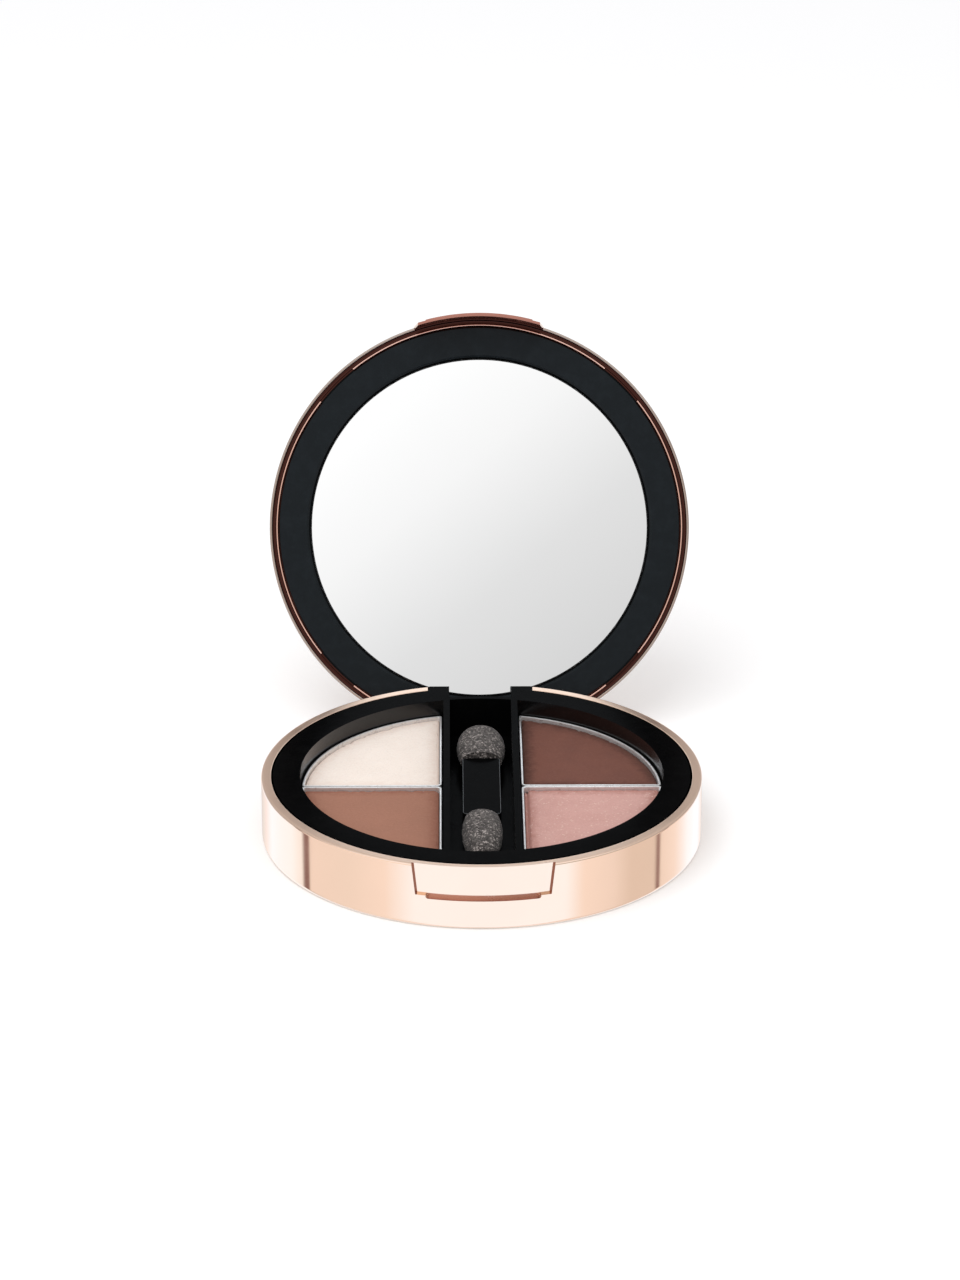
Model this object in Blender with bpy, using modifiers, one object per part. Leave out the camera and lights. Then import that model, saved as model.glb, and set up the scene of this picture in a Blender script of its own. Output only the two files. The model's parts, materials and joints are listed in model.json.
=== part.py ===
"""Round eyeshadow compact: base with tray and four pans, double-ended applicator, mirror lid.

Metres, +Z up. The origin is the centre of the flat underside, the thumb flap is towards -Y
and the hinge towards +Y. The lid stands open at its stop.
"""
import math

import bmesh
import bpy
from mathutils import Matrix, Vector

# ---------------------------------------------------------------- driving dimensions
COMPACT_DIAMETER = 0.0750
CLEARANCE = 0.0003
FACETS = 72

# base shell
BASE_FLOOR = 0.0012
RIM_WIDTH = 0.0017
RIM_ROUNDING = 0.00045
FLOOR_STEP = 0.0002
FOOT_ROUNDING = 0.0008

# tray, measured from its ring face downwards
RING_WIDTH = 0.0046
RING_THICKNESS = 0.0013
TRAY_WALL = 0.0010
TRAY_FLOOR = 0.0010
SKIRT_DEPTH = 0.0061
SKIRT_WALL = 0.0010
UNDERTRAY_SPACE = 0.0018
FOOT_RING_RADIUS = 0.0190
FOOT_RING_WIDTH = 0.0012
CHANNEL_WIDTH = 0.0108
BAR_WIDTH = 0.0011

# pans and pressed powders
PAN_DROP = 0.0028
PAN_DEPTH = 0.0034
PAN_WALL = 0.00035
PAN_CORNER = 0.0008
PAN_DIVIDER_Y = 0.0004
POWDER_DROP = 0.0004
GLUE_DIAMETER = 0.0120
GLUE_THICKNESS = 0.0003
GLUE_OFFSET_X = 0.0161
GLUE_OFFSET_Y = 0.0112

# lid, measured from its rim plane upwards when closed
LID_ROOF = 0.0012
LID_ROUNDING = 0.0028
OUTER_LIP = 0.00045
RIM_GROOVE = 0.00075
RIM_GROOVE_DEPTH = 0.0006
INNER_LIP = 0.00025
PLATE_RECESS = 0.0003
PLATE_RIM_WIDTH = 0.0053
PLATE_WEB = 0.0007
PLATE_CHAMFER = 0.00035
MIRROR_RECESS = 0.0003
MIRROR_THICKNESS = 0.0012
MIRROR_BEVEL = 0.0002
TAPE_THICKNESS = 0.0002
TAPE_MARGIN = 0.0025

# snaps that hold the tray in the base and the plate in the lid
SNAP_ANGLES = (45.0, 135.0, 225.0, 315.0)
SNAP_HALF_ANGLE = 6.5
SNAP_POCKET_HALF_ANGLE = 8.0
SNAP_REACH = 0.0006
SNAP_HEIGHT = 0.0009
TRAY_SNAP_DROP = 0.0045
PLATE_SNAP_RISE = 0.0013
LIP_GAP_DEPTH = 0.0004

# thumb flap of the lid, its recess in the base wall and the nail slot below it
RECESS_TOP_WIDTH = 0.0235
RECESS_BOTTOM_WIDTH = 0.0223
RECESS_HEIGHT = 0.0054
RECESS_DEPTH = 0.0006
FLAP_GAP = 0.0004
FLAP_SKIN = 0.00045
FLAP_PROUD = 0.0004
FLAP_PAD_WIDTH = 0.0190
FLAP_ROOT = 0.0019
PAD_RISE = 0.0001
SLOT_WIDTH = 0.0189
SLOT_HEIGHT = 0.0008
SLOT_DEPTH = 0.0012

# hinge
HINGE_INSET = 0.0039
HINGE_DROP = 0.0044
STOP_GAP = 0.00021
BACK_FLAT_INSET = 0.0009
KNUCKLE_WIDTH = 0.0104
KNUCKLE_FRONT = 0.0013
KNUCKLE_BACK = 0.0016
BARREL_WALL = 0.00085
EAR_WIDTH = 0.0035
PIN_DIAMETER = 0.0015
PIN_END_INSET = 0.0006
COVE_WIDTH = 0.0260

# applicator
HANDLE_WIDTH = 0.0065
HANDLE_THICKNESS = 0.0019
HANDLE_FRONT_Y = -0.0093
HANDLE_BACK_Y = 0.0132
HANDLE_CORNER = 0.0007
NECK_WIDTH = 0.0026
NECK_THICKNESS = 0.0014
NECK_LENGTH = 0.0075
TIP_THICKNESS = 0.0048
SMALL_TIP_WIDTH = 0.0070
SMALL_TIP_LENGTH = 0.0149
LARGE_TIP_WIDTH = 0.0086
LARGE_TIP_LENGTH = 0.0138
TIP_MOUTH = 0.62
TIP_FULLNESS = 0.75

# ---------------------------------------------------------------- sizes that follow
OUTER = COMPACT_DIAMETER / 2
TRAY_DEPTH = PAN_DROP + PAN_DEPTH + GLUE_THICKNESS + 2 * CLEARANCE
BASE_HEIGHT = BASE_FLOOR + UNDERTRAY_SPACE + TRAY_FLOOR + TRAY_DEPTH
BORE = OUTER - RIM_WIDTH
TRAY_RADIUS = BORE - CLEARANCE
WELL_RADIUS = TRAY_RADIUS - RING_WIDTH
WELL_FLOOR = BASE_HEIGHT - TRAY_DEPTH
BAR_OUTER = CHANNEL_WIDTH / 2 + BAR_WIDTH

MIRROR_STACK = MIRROR_RECESS + MIRROR_THICKNESS + TAPE_THICKNESS + 2 * CLEARANCE
LID_HEIGHT = PLATE_RECESS + MIRROR_STACK + PLATE_WEB + CLEARANCE + LID_ROOF
LID_PLANE = BASE_HEIGHT + CLEARANCE
LID_TOP = LID_PLANE + LID_HEIGHT
ROOF_UNDERSIDE = LID_TOP - LID_ROOF
LID_BORE = OUTER - OUTER_LIP - RIM_GROOVE - INNER_LIP
PLATE_RADIUS = LID_BORE - CLEARANCE
PLATE_FACE = LID_PLANE + PLATE_RECESS
MIRROR_POCKET = PLATE_RADIUS - PLATE_RIM_WIDTH
MIRROR_RADIUS = MIRROR_POCKET - CLEARANCE
MIRROR_FACE = PLATE_FACE + MIRROR_RECESS
POCKET_FLOOR = PLATE_FACE + MIRROR_STACK

HINGE = Vector((0, OUTER - HINGE_INSET, BASE_HEIGHT - HINGE_DROP))
BACK_FLAT = OUTER - BACK_FLAT_INSET
EAR_BACK = BACK_FLAT - CLEARANCE
EAR_INNER = KNUCKLE_WIDTH / 2 + CLEARANCE
EAR_OUTER = EAR_INNER + EAR_WIDTH
NOTCH_HALF = EAR_OUTER + CLEARANCE
NOTCH_FLOOR = BASE_FLOOR + FLOOR_STEP
PIN_BORE = PIN_DIAMETER / 2 + CLEARANCE
BARREL = PIN_BORE + BARREL_WALL
COVE_RADIUS = math.hypot(EAR_BACK - HINGE.y, HINGE_DROP) + CLEARANCE
TIP_HEIGHT = WELL_FLOOR + CLEARANCE + TIP_THICKNESS / 2

# the lid opens until its rim plane is a gap away from the lowest corner of the ears
STOP_CORNER = Vector((EAR_BACK - HINGE.y, BASE_FLOOR + CLEARANCE + FLOOR_STEP - HINGE.z))
STOP_REACH = math.acos((HINGE_DROP + CLEARANCE - STOP_GAP) / STOP_CORNER.length)
STOP_BEARING = math.atan2(STOP_CORNER.y, STOP_CORNER.x)
OPEN_ANGLE = math.radians(round(math.degrees(math.pi / 2 - STOP_BEARING - STOP_REACH), 1))
FAR = 0.004

# ---------------------------------------------------------------- scene and materials
for old in list(bpy.data.objects):
    bpy.data.objects.remove(old, do_unlink=True)

PARTS = bpy.data.collections.new("eyeshadow_compact")
CUTTERS = bpy.data.collections.new("cutters")
bpy.context.scene.collection.children.link(PARTS)
bpy.context.scene.collection.children.link(CUTTERS)


def material(name, colour, roughness, metallic=0.0):
    """A Principled material with one colour, roughness and metallic value."""
    new = bpy.data.materials.new(name)
    new.use_nodes = True
    shader = new.node_tree.nodes["Principled BSDF"]
    shader.inputs["Base Color"].default_value = (*colour, 1)
    shader.inputs["Roughness"].default_value = roughness
    shader.inputs["Metallic"].default_value = metallic
    return new


ROSE_GOLD = material("rose_gold", (0.87, 0.60, 0.46), 0.12, 1)
BLACK_GLOSS = material("black_gloss", (0.006, 0.006, 0.006), 0.12)
CHARCOAL = material("charcoal", (0.015, 0.018, 0.020), 0.35)
GLASS_MIRROR = material("mirror_silver", (0.92, 0.92, 0.92), 0.02, 1)
ALUMINIUM = material("aluminium", (0.80, 0.80, 0.80), 0.30, 1)
STEEL = material("steel", (0.62, 0.62, 0.62), 0.30, 1)
GLUE = material("glue", (0.75, 0.72, 0.62), 0.50)
TAPE = material("foam_tape", (0.85, 0.85, 0.82), 0.80)
SPONGE = material("sponge", (0.12, 0.11, 0.10), 0.95)
POWDER_COLOURS = {
    "cream": (0.80, 0.71, 0.63),
    "terracotta": (0.38, 0.19, 0.13),
    "brown": (0.17, 0.075, 0.058),
    "pink": (0.62, 0.35, 0.31),
}


# ---------------------------------------------------------------- outlines
def arc(radius, start, end, steps, centre=(0.0, 0.0)):
    """Points on a circle from the start angle to the end angle, in degrees."""
    points = []
    for step in range(steps + 1):
        angle = math.radians(start + (end - start) * step / steps)
        points.append((centre[0] + radius * math.cos(angle), centre[1] + radius * math.sin(angle)))
    return points


def rounded(points, radii, steps=4):
    """The closed or open outline with the corners that radii names by index rounded off."""
    result = []
    for index, corner in enumerate(points):
        radius = radii.get(index, 0)
        if not radius:
            result.append(corner)
            continue
        here = Vector(corner)
        before = (Vector(points[index - 1]) - here).normalized()
        after = (Vector(points[(index + 1) % len(points)]) - here).normalized()
        half = before.angle(after) / 2
        centre = here + (before + after).normalized() * (radius / math.sin(half))
        first = here + before * (radius / math.tan(half)) - centre
        last = here + after * (radius / math.tan(half)) - centre
        for step in range(steps + 1):
            spoke = first.normalized().slerp(last.normalized(), step / steps)
            result.append(tuple(centre + spoke * radius))
    return result


def trapezoid(bottom_width, top_width, bottom, top):
    """A symmetric outline in x and z."""
    return [(-bottom_width / 2, bottom), (bottom_width / 2, bottom),
            (top_width / 2, top), (-top_width / 2, top)]


# ---------------------------------------------------------------- solids
def baked(source, name, matrix, owner):
    """Turns the evaluated source into a mesh object, welded, with its faces pointing out."""
    graph = bpy.context.evaluated_depsgraph_get()
    mesh = bpy.data.meshes.new_from_object(source.evaluated_get(graph))
    bpy.data.objects.remove(source, do_unlink=True)
    mesh.transform(matrix)
    shape = bmesh.new()
    shape.from_mesh(mesh)
    bmesh.ops.remove_doubles(shape, verts=shape.verts, dist=0.000001)
    bmesh.ops.recalc_face_normals(shape, faces=shape.faces)
    shape.to_mesh(mesh)
    shape.free()
    mesh.shade_smooth()
    mesh.set_sharp_from_angle(angle=math.radians(35))
    solid = bpy.data.objects.new(name, mesh)
    owner.objects.link(solid)
    if owner is CUTTERS:
        solid.hide_render = True
        solid.display_type = "WIRE"
    return solid


def turned(name, profile, owner=PARTS, ring=False, matrix=Matrix.Identity(4), facets=FACETS):
    """Turns a profile of (radius, height) about Z; a ring's profile is a closed loop."""
    mesh = bpy.data.meshes.new(name)
    edges = [(index, index + 1) for index in range(len(profile) - 1)]
    if ring:
        edges.append((len(profile) - 1, 0))
    mesh.from_pydata([(radius, 0, height) for radius, height in profile], edges, [])
    source = bpy.data.objects.new(name + "_profile", mesh)
    owner.objects.link(source)
    screw = source.modifiers.new("turn", "SCREW")
    screw.steps = facets
    screw.render_steps = facets
    screw.use_merge_vertices = True
    screw.merge_threshold = 0.00001
    return baked(source, name, matrix, owner)


ALONG_Z = Matrix.Identity(4)
ALONG_X = Matrix(((0, 0, 1, 0), (1, 0, 0, 0), (0, 1, 0, 0), (0, 0, 0, 1)))
ALONG_Y = Matrix(((1, 0, 0, 0), (0, 0, -1, 0), (0, 1, 0, 0), (0, 0, 0, 1)))


def extruded(name, outline, start, end, owner=PARTS, along=ALONG_Z):
    """A flat outline with thickness from start to end along the axis."""
    curve = bpy.data.curves.new(name, "CURVE")
    curve.dimensions = "2D"
    curve.fill_mode = "BOTH"
    curve.extrude = (end - start) / 2
    spline = curve.splines.new("POLY")
    spline.points.add(len(outline) - 1)
    for point, (across, up) in zip(spline.points, outline):
        point.co = (across, up, 0, 1)
    spline.use_cyclic_u = True
    source = bpy.data.objects.new(name + "_outline", curve)
    owner.objects.link(source)
    lift = Matrix.Translation((0, 0, (start + end) / 2))
    return baked(source, name, along @ lift, owner)


def cylinder(name, radius, start, end, owner=PARTS, along=ALONG_Z, centre=(0, 0, 0), facets=24):
    """A round rod from start to end along the axis through the centre."""
    shape = bmesh.new()
    bmesh.ops.create_cone(shape, cap_ends=True, segments=facets, radius1=radius, radius2=radius,
                          depth=end - start)
    lift = Matrix.Translation((0, 0, (start + end) / 2))
    bmesh.ops.transform(shape, verts=shape.verts, matrix=Matrix.Translation(centre) @ along @ lift)
    mesh = bpy.data.meshes.new(name)
    shape.to_mesh(mesh)
    shape.free()
    mesh.shade_smooth()
    mesh.set_sharp_from_angle(angle=math.radians(35))
    rod = bpy.data.objects.new(name, mesh)
    owner.objects.link(rod)
    if owner is CUTTERS:
        rod.hide_render = True
        rod.display_type = "WIRE"
    return rod


def box(name, low, high, owner=PARTS):
    """A block between two corners."""
    outline = [(low[0], low[1]), (high[0], low[1]), (high[0], high[1]), (low[0], high[1])]
    return extruded(name, outline, low[2], high[2], owner)


def ring_block(name, inner, outer, middle, half_angle, bottom, top, owner=CUTTERS):
    """A piece of a ring, as wide as twice the half angle in degrees."""
    start = middle - half_angle
    end = middle + half_angle
    outline = arc(outer, start, end, 6) + arc(inner, end, start, 6)
    return extruded(name, outline, bottom, top, owner)


def boolean(target, tool, operation):
    """Joins the tool to the target, cuts it away or keeps what both share."""
    step = target.modifiers.new(tool.name, "BOOLEAN")
    step.operation = operation
    step.solver = "EXACT"
    step.object = tool


def cut(target, *tools):
    for tool in tools:
        boolean(target, tool, "DIFFERENCE")


def join(target, *tools):
    for tool in tools:
        boolean(target, tool, "UNION")


def paint(part, finish):
    part.data.materials.clear()
    part.data.materials.append(finish)
    return part


# ---------------------------------------------------------------- base shell
def front_panel(name, outline, inner, outer):
    """The stretch of a ring, seen from the front, that lies inside an outline in x and z."""
    panel = extruded(name, outline, COMPACT_DIAMETER / 4, OUTER + FAR, CUTTERS, ALONG_Y)
    heights = [height for across, height in outline]
    low = min(heights) - FAR
    high = max(heights) + FAR
    ring = turned(name + "_ring", [(inner, high), (outer, high), (outer, low), (inner, low)],
                  CUTTERS, ring=True, facets=2 * FACETS)
    boolean(panel, ring, "INTERSECT")
    return panel


def make_base_shell():
    profile = rounded([(0, 0), (OUTER, 0), (OUTER, BASE_HEIGHT), (BORE, BASE_HEIGHT),
                       (BORE, BASE_FLOOR), (0, BASE_FLOOR)], {1: FOOT_ROUNDING, 2: RIM_ROUNDING})
    shell = turned("base_shell", profile[::-1])
    notch = box("base_notch", (-NOTCH_HALF, BORE - 2 * FAR, NOTCH_FLOOR),
                (NOTCH_HALF, OUTER + FAR, BASE_HEIGHT + FAR), CUTTERS)
    flat = box("base_back_flat", (-OUTER, BACK_FLAT, -FAR), (OUTER, OUTER + FAR, LID_TOP), CUTTERS)
    recess_bottom = BASE_HEIGHT - RECESS_HEIGHT
    slope = (RECESS_TOP_WIDTH - RECESS_BOTTOM_WIDTH) / RECESS_HEIGHT
    recess = front_panel("flap_recess", trapezoid(RECESS_BOTTOM_WIDTH,
                                                  RECESS_TOP_WIDTH + slope * FAR, recess_bottom,
                                                  BASE_HEIGHT + FAR),
                         OUTER - RECESS_DEPTH, OUTER + FAR)
    slot_top = recess_bottom + SLOT_HEIGHT / 3
    middle = slot_top - SLOT_HEIGHT / 2
    reach = (SLOT_WIDTH - SLOT_HEIGHT) / 2
    stadium = (arc(SLOT_HEIGHT / 2, -90, 90, 6, (reach, middle))
               + arc(SLOT_HEIGHT / 2, 90, 270, 6, (-reach, middle)))
    slot = front_panel("nail_slot", stadium, OUTER - SLOT_DEPTH, OUTER + FAR)
    cut(shell, notch, flat, recess, slot)
    snap_middle = BASE_HEIGHT - TRAY_SNAP_DROP
    half = SNAP_HEIGHT / 2 + CLEARANCE
    for number, angle in enumerate(SNAP_ANGLES, 1):
        cut(shell, ring_block(f"base_snap_pocket_{number}", BORE - FAR, TRAY_RADIUS + SNAP_REACH
                              + CLEARANCE, angle, SNAP_POCKET_HALF_ANGLE, snap_middle - half,
                              snap_middle + half))
    return paint(shell, ROSE_GOLD)


# ---------------------------------------------------------------- tray
def well_outline(side):
    """A D-shaped well between a bar and the round wall; side is -1 or 1."""
    reach = math.degrees(math.acos(BAR_OUTER / WELL_RADIUS))
    points = arc(WELL_RADIUS, -reach, reach, FACETS // 2)
    return [(side * across, up) for across, up in points]


def channel_outline():
    """The channel between the bars, ending on the round wall at both ends."""
    reach = math.degrees(math.asin(CHANNEL_WIDTH / 2 / WELL_RADIUS))
    return arc(WELL_RADIUS, -90 - reach, -90 + reach, 6) + arc(WELL_RADIUS, 90 - reach,
                                                               90 + reach, 6)


def make_tray():
    wall = WELL_RADIUS + TRAY_WALL
    under = WELL_FLOOR - TRAY_FLOOR
    skirt = TRAY_RADIUS - SKIRT_WALL
    foot = BASE_FLOOR + CLEARANCE
    profile = [(0, BASE_HEIGHT), (TRAY_RADIUS, BASE_HEIGHT),
               (TRAY_RADIUS, BASE_HEIGHT - SKIRT_DEPTH), (skirt, BASE_HEIGHT - SKIRT_DEPTH),
               (skirt, BASE_HEIGHT - RING_THICKNESS), (wall, BASE_HEIGHT - RING_THICKNESS),
               (wall, under), (FOOT_RING_RADIUS, under), (FOOT_RING_RADIUS, foot),
               (FOOT_RING_RADIUS - FOOT_RING_WIDTH, foot),
               (FOOT_RING_RADIUS - FOOT_RING_WIDTH, under), (0, under)]
    tray = turned("tray", profile)
    for side, word in ((-1, "left"), (1, "right")):
        near = side * EAR_INNER
        far = side * EAR_OUTER
        ear = box(f"ear_{word}", (min(near, far), WELL_RADIUS + TRAY_WALL / 2, foot + FLOOR_STEP),
                  (max(near, far), EAR_BACK, BASE_HEIGHT), CUTTERS)
        join(tray, ear)
    snap_middle = BASE_HEIGHT - TRAY_SNAP_DROP
    for number, angle in enumerate(SNAP_ANGLES, 1):
        join(tray, ring_block(f"tray_snap_{number}", TRAY_RADIUS - SKIRT_WALL / 2,
                              TRAY_RADIUS + SNAP_REACH, angle, SNAP_HALF_ANGLE,
                              snap_middle - SNAP_HEIGHT / 2, snap_middle + SNAP_HEIGHT / 2))
    for side, word in ((-1, "left"), (1, "right")):
        cut(tray, extruded(f"well_{word}", well_outline(side), WELL_FLOOR, BASE_HEIGHT + FAR,
                           CUTTERS))
    cut(tray, extruded("channel", channel_outline(), WELL_FLOOR, BASE_HEIGHT + FAR, CUTTERS))
    reach = math.degrees(math.asin(EAR_INNER / wall))
    gate = arc(wall, 90 - reach, 90 + reach, 6) + [(-EAR_INNER, OUTER + FAR),
                                                   (EAR_INNER, OUTER + FAR)]
    cut(tray, extruded("knuckle_gate", gate, -FAR, BASE_HEIGHT + FAR, CUTTERS))
    cut(tray, cylinder("barrel_relief", BARREL + CLEARANCE, -EAR_INNER, EAR_INNER, CUTTERS,
                       ALONG_X, HINGE))
    cut(tray, cylinder("ear_bore", PIN_BORE, -EAR_OUTER - FAR, EAR_OUTER + FAR, CUTTERS, ALONG_X,
                       HINGE))
    return paint(tray, BLACK_GLOSS)


# ---------------------------------------------------------------- pans
def quadrant(inset, side, depth_side):
    """A pan's outline beside its bar and the divider, drawn in by the inset."""
    radius = WELL_RADIUS - CLEARANCE - inset
    near_x = BAR_OUTER + CLEARANCE + inset
    near_y = depth_side * PAN_DIVIDER_Y + CLEARANCE / 2 + inset
    start = math.degrees(math.asin(near_y / radius))
    end = math.degrees(math.acos(near_x / radius))
    round_side = arc(radius, start, end, FACETS // 5)
    corner = PAN_CORNER - inset / 2
    outline = rounded([(near_x, near_y)] + round_side, {0: corner, 1: corner / 2,
                                                         len(round_side): corner / 2})
    return [(side * across, depth_side * up) for across, up in outline]


def make_pan(colour, side, depth_side):
    """A pressed-powder pan: the metal cup, its powder and the glue under it."""
    rim = BASE_HEIGHT - PAN_DROP
    bottom = rim - PAN_DEPTH
    pan = extruded(f"pan_{colour}", quadrant(0, side, depth_side), bottom, rim)
    cut(pan, extruded(f"pan_hollow_{colour}", quadrant(PAN_WALL, side, depth_side),
                      bottom + PAN_WALL, rim + FAR, CUTTERS))
    paint(pan, ALUMINIUM)
    powder = extruded(f"powder_{colour}", quadrant(PAN_WALL + CLEARANCE, side, depth_side),
                      bottom + PAN_WALL + CLEARANCE, rim - POWDER_DROP)
    paint(powder, material(f"powder_{colour}", POWDER_COLOURS[colour], 0.9))
    glue = cylinder(f"glue_{colour}", GLUE_DIAMETER / 2, WELL_FLOOR + CLEARANCE,
                    WELL_FLOOR + CLEARANCE + GLUE_THICKNESS,
                    centre=(side * GLUE_OFFSET_X, PAN_DIVIDER_Y + depth_side * GLUE_OFFSET_Y, 0))
    paint(glue, GLUE)


# ---------------------------------------------------------------- applicator
def tip_profile(length, width):
    """Half outline of a sponge tip from its rounded end to its flat mouth."""
    points = []
    steps = 12
    start = math.degrees(math.asin(TIP_MOUTH))
    for step in range(steps + 1):
        angle = math.radians(90 - (90 + start) * step / steps)
        points.append((width / 2 * abs(math.cos(angle)) ** TIP_FULLNESS, math.sin(angle)))
    top = points[0][1]
    low = points[-1][1]
    scaled = [(radius, length * (height - low) / (top - low)) for radius, height in points]
    return scaled + [(0, 0)]


def make_tip(name, length, width, mouth_y, direction):
    """A sponge tip along Y with a socket for the handle's neck."""
    squash = Matrix.Diagonal((1, 1, TIP_THICKNESS / width, 1))
    lie_down = Matrix.Rotation(math.radians(-90 * direction), 4, "X")
    place = Matrix.Translation((0, mouth_y, TIP_HEIGHT))
    tip = turned(name, tip_profile(length, width), matrix=place @ squash @ lie_down, facets=24)
    half_width = NECK_WIDTH / 2 + CLEARANCE
    half_height = NECK_THICKNESS / 2 + CLEARANCE
    inner_end = mouth_y + direction * (NECK_LENGTH + CLEARANCE)
    outer_end = mouth_y - direction * FAR
    socket = box(name + "_socket", (-half_width, min(inner_end, outer_end),
                                    TIP_HEIGHT - half_height),
                 (half_width, max(inner_end, outer_end), TIP_HEIGHT + half_height), CUTTERS)
    cut(tip, socket)
    return paint(tip, SPONGE)


def make_handle():
    half = HANDLE_WIDTH / 2
    outline = rounded([(-half, HANDLE_FRONT_Y), (half, HANDLE_FRONT_Y), (half, HANDLE_BACK_Y),
                       (-half, HANDLE_BACK_Y)], {index: HANDLE_CORNER for index in range(4)})
    handle = extruded("applicator_handle", outline, TIP_HEIGHT - HANDLE_THICKNESS / 2,
                      TIP_HEIGHT + HANDLE_THICKNESS / 2)
    neck = box("handle_neck", (-NECK_WIDTH / 2, HANDLE_FRONT_Y - NECK_LENGTH - CLEARANCE,
                               TIP_HEIGHT - NECK_THICKNESS / 2),
               (NECK_WIDTH / 2, HANDLE_BACK_Y + NECK_LENGTH + CLEARANCE,
                TIP_HEIGHT + NECK_THICKNESS / 2), CUTTERS)
    join(handle, neck)
    return paint(handle, BLACK_GLOSS)


# ---------------------------------------------------------------- lid, drawn closed
def flap_outline(width_cut):
    """The flap's outline in x and z, clear of its recess by the cut."""
    low = BASE_HEIGHT - RECESS_HEIGHT + CLEARANCE
    high = LID_PLANE + FLAP_ROOT
    slope = (RECESS_TOP_WIDTH - RECESS_BOTTOM_WIDTH) / RECESS_HEIGHT
    bottom_width = RECESS_BOTTOM_WIDTH - width_cut
    return trapezoid(bottom_width, bottom_width + slope * (high - low), low, high)


def make_lid_shell():
    lip_inner = OUTER - OUTER_LIP
    groove_inner = LID_BORE + INNER_LIP
    profile = [(0, LID_TOP)]
    profile += arc(LID_ROUNDING, 90, 0, 8, (OUTER - LID_ROUNDING, LID_TOP - LID_ROUNDING))
    profile += [(OUTER, LID_PLANE + OUTER_LIP / 3), (OUTER - OUTER_LIP / 3, LID_PLANE),
                (lip_inner, LID_PLANE), (lip_inner, LID_PLANE + RIM_GROOVE_DEPTH),
                (groove_inner, LID_PLANE + RIM_GROOVE_DEPTH), (groove_inner, LID_PLANE),
                (LID_BORE, LID_PLANE), (LID_BORE, ROOF_UNDERSIDE), (0, ROOF_UNDERSIDE)]
    shell = turned("lid_shell", profile)
    skin_inner = OUTER - RECESS_DEPTH + FLAP_GAP
    skin = front_panel("flap_skin", flap_outline(2 * CLEARANCE), skin_inner,
                       skin_inner + FLAP_SKIN)
    pad_low = BASE_HEIGHT - RECESS_HEIGHT + CLEARANCE
    pad_high = LID_PLANE + FLAP_ROOT
    pad = front_panel("flap_pad", trapezoid(FLAP_PAD_WIDTH, FLAP_PAD_WIDTH, pad_low + PAD_RISE,
                                            pad_high + PAD_RISE),
                      skin_inner + FLAP_SKIN / 2, OUTER + FLAP_PROUD)
    join(shell, skin, pad)
    cut(shell, box("lid_back_flat", (-OUTER, BACK_FLAT, -FAR), (OUTER, OUTER + FAR, LID_TOP + FAR),
                   CUTTERS))
    cut(shell, hinge_cove("lid_cove"))
    snap_middle = LID_PLANE + PLATE_SNAP_RISE + SNAP_HEIGHT / 2
    half = SNAP_HEIGHT / 2 + CLEARANCE
    for number, angle in enumerate(SNAP_ANGLES, 1):
        cut(shell, ring_block(f"lid_snap_pocket_{number}", LID_BORE - FAR, PLATE_RADIUS
                              + SNAP_REACH + CLEARANCE, angle, SNAP_POCKET_HALF_ANGLE,
                              snap_middle - half, snap_middle + half))
        cut(shell, ring_block(f"lip_gap_{number}", LID_BORE - FAR, groove_inner + CLEARANCE / 3,
                              angle, SNAP_HALF_ANGLE, LID_PLANE - FAR,
                              LID_PLANE + LIP_GAP_DEPTH))
    return paint(shell, ROSE_GOLD)


def hinge_cove(name):
    """The room that the base's back edge needs while the lid turns."""
    return cylinder(name, COVE_RADIUS, -COVE_WIDTH / 2, COVE_WIDTH / 2, CUTTERS, ALONG_X, HINGE,
                    48)


def make_mirror_plate():
    top = ROOF_UNDERSIDE - CLEARANCE
    plate = turned("mirror_plate", [(0, top), (PLATE_RADIUS, top), (PLATE_RADIUS, PLATE_FACE),
                                    (MIRROR_POCKET + PLATE_CHAMFER, PLATE_FACE),
                                    (MIRROR_POCKET, PLATE_FACE + PLATE_CHAMFER),
                                    (MIRROR_POCKET, POCKET_FLOOR), (0, POCKET_FLOOR)])
    cut(plate, hinge_cove("plate_cove"))
    barrel = arc(BARREL, 180, 360, 14, (HINGE.y, HINGE.z))
    barrel_front = HINGE.y - KNUCKLE_FRONT
    barrel_back = HINGE.y + KNUCKLE_BACK
    side_view = barrel + [(barrel_back, HINGE.z + BARREL), (barrel_back, POCKET_FLOOR),
                          (barrel_front, POCKET_FLOOR), (barrel_front, HINGE.z + BARREL)]
    join(plate, extruded("knuckle", side_view, -KNUCKLE_WIDTH / 2, KNUCKLE_WIDTH / 2, CUTTERS,
                         ALONG_X))
    snap_bottom = LID_PLANE + PLATE_SNAP_RISE
    for number, angle in enumerate(SNAP_ANGLES, 1):
        join(plate, ring_block(f"plate_snap_{number}", PLATE_RADIUS - TRAY_WALL,
                               PLATE_RADIUS + SNAP_REACH, angle, SNAP_HALF_ANGLE, snap_bottom,
                               snap_bottom + SNAP_HEIGHT))
    cut(plate, cylinder("knuckle_bore", PIN_BORE, -KNUCKLE_WIDTH, KNUCKLE_WIDTH, CUTTERS, ALONG_X,
                        HINGE))
    return paint(plate, CHARCOAL)


def make_mirror():
    back = MIRROR_FACE + MIRROR_THICKNESS
    glass = turned("mirror", [(0, back), (MIRROR_RADIUS, back),
                              (MIRROR_RADIUS, MIRROR_FACE + MIRROR_BEVEL),
                              (MIRROR_RADIUS - MIRROR_BEVEL, MIRROR_FACE), (0, MIRROR_FACE)])
    return paint(glass, GLASS_MIRROR)


def make_mirror_tape():
    bottom = MIRROR_FACE + MIRROR_THICKNESS + CLEARANCE
    tape = cylinder("mirror_tape", MIRROR_RADIUS - TAPE_MARGIN, bottom, bottom + TAPE_THICKNESS,
                    facets=48)
    return paint(tape, TAPE)


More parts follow.
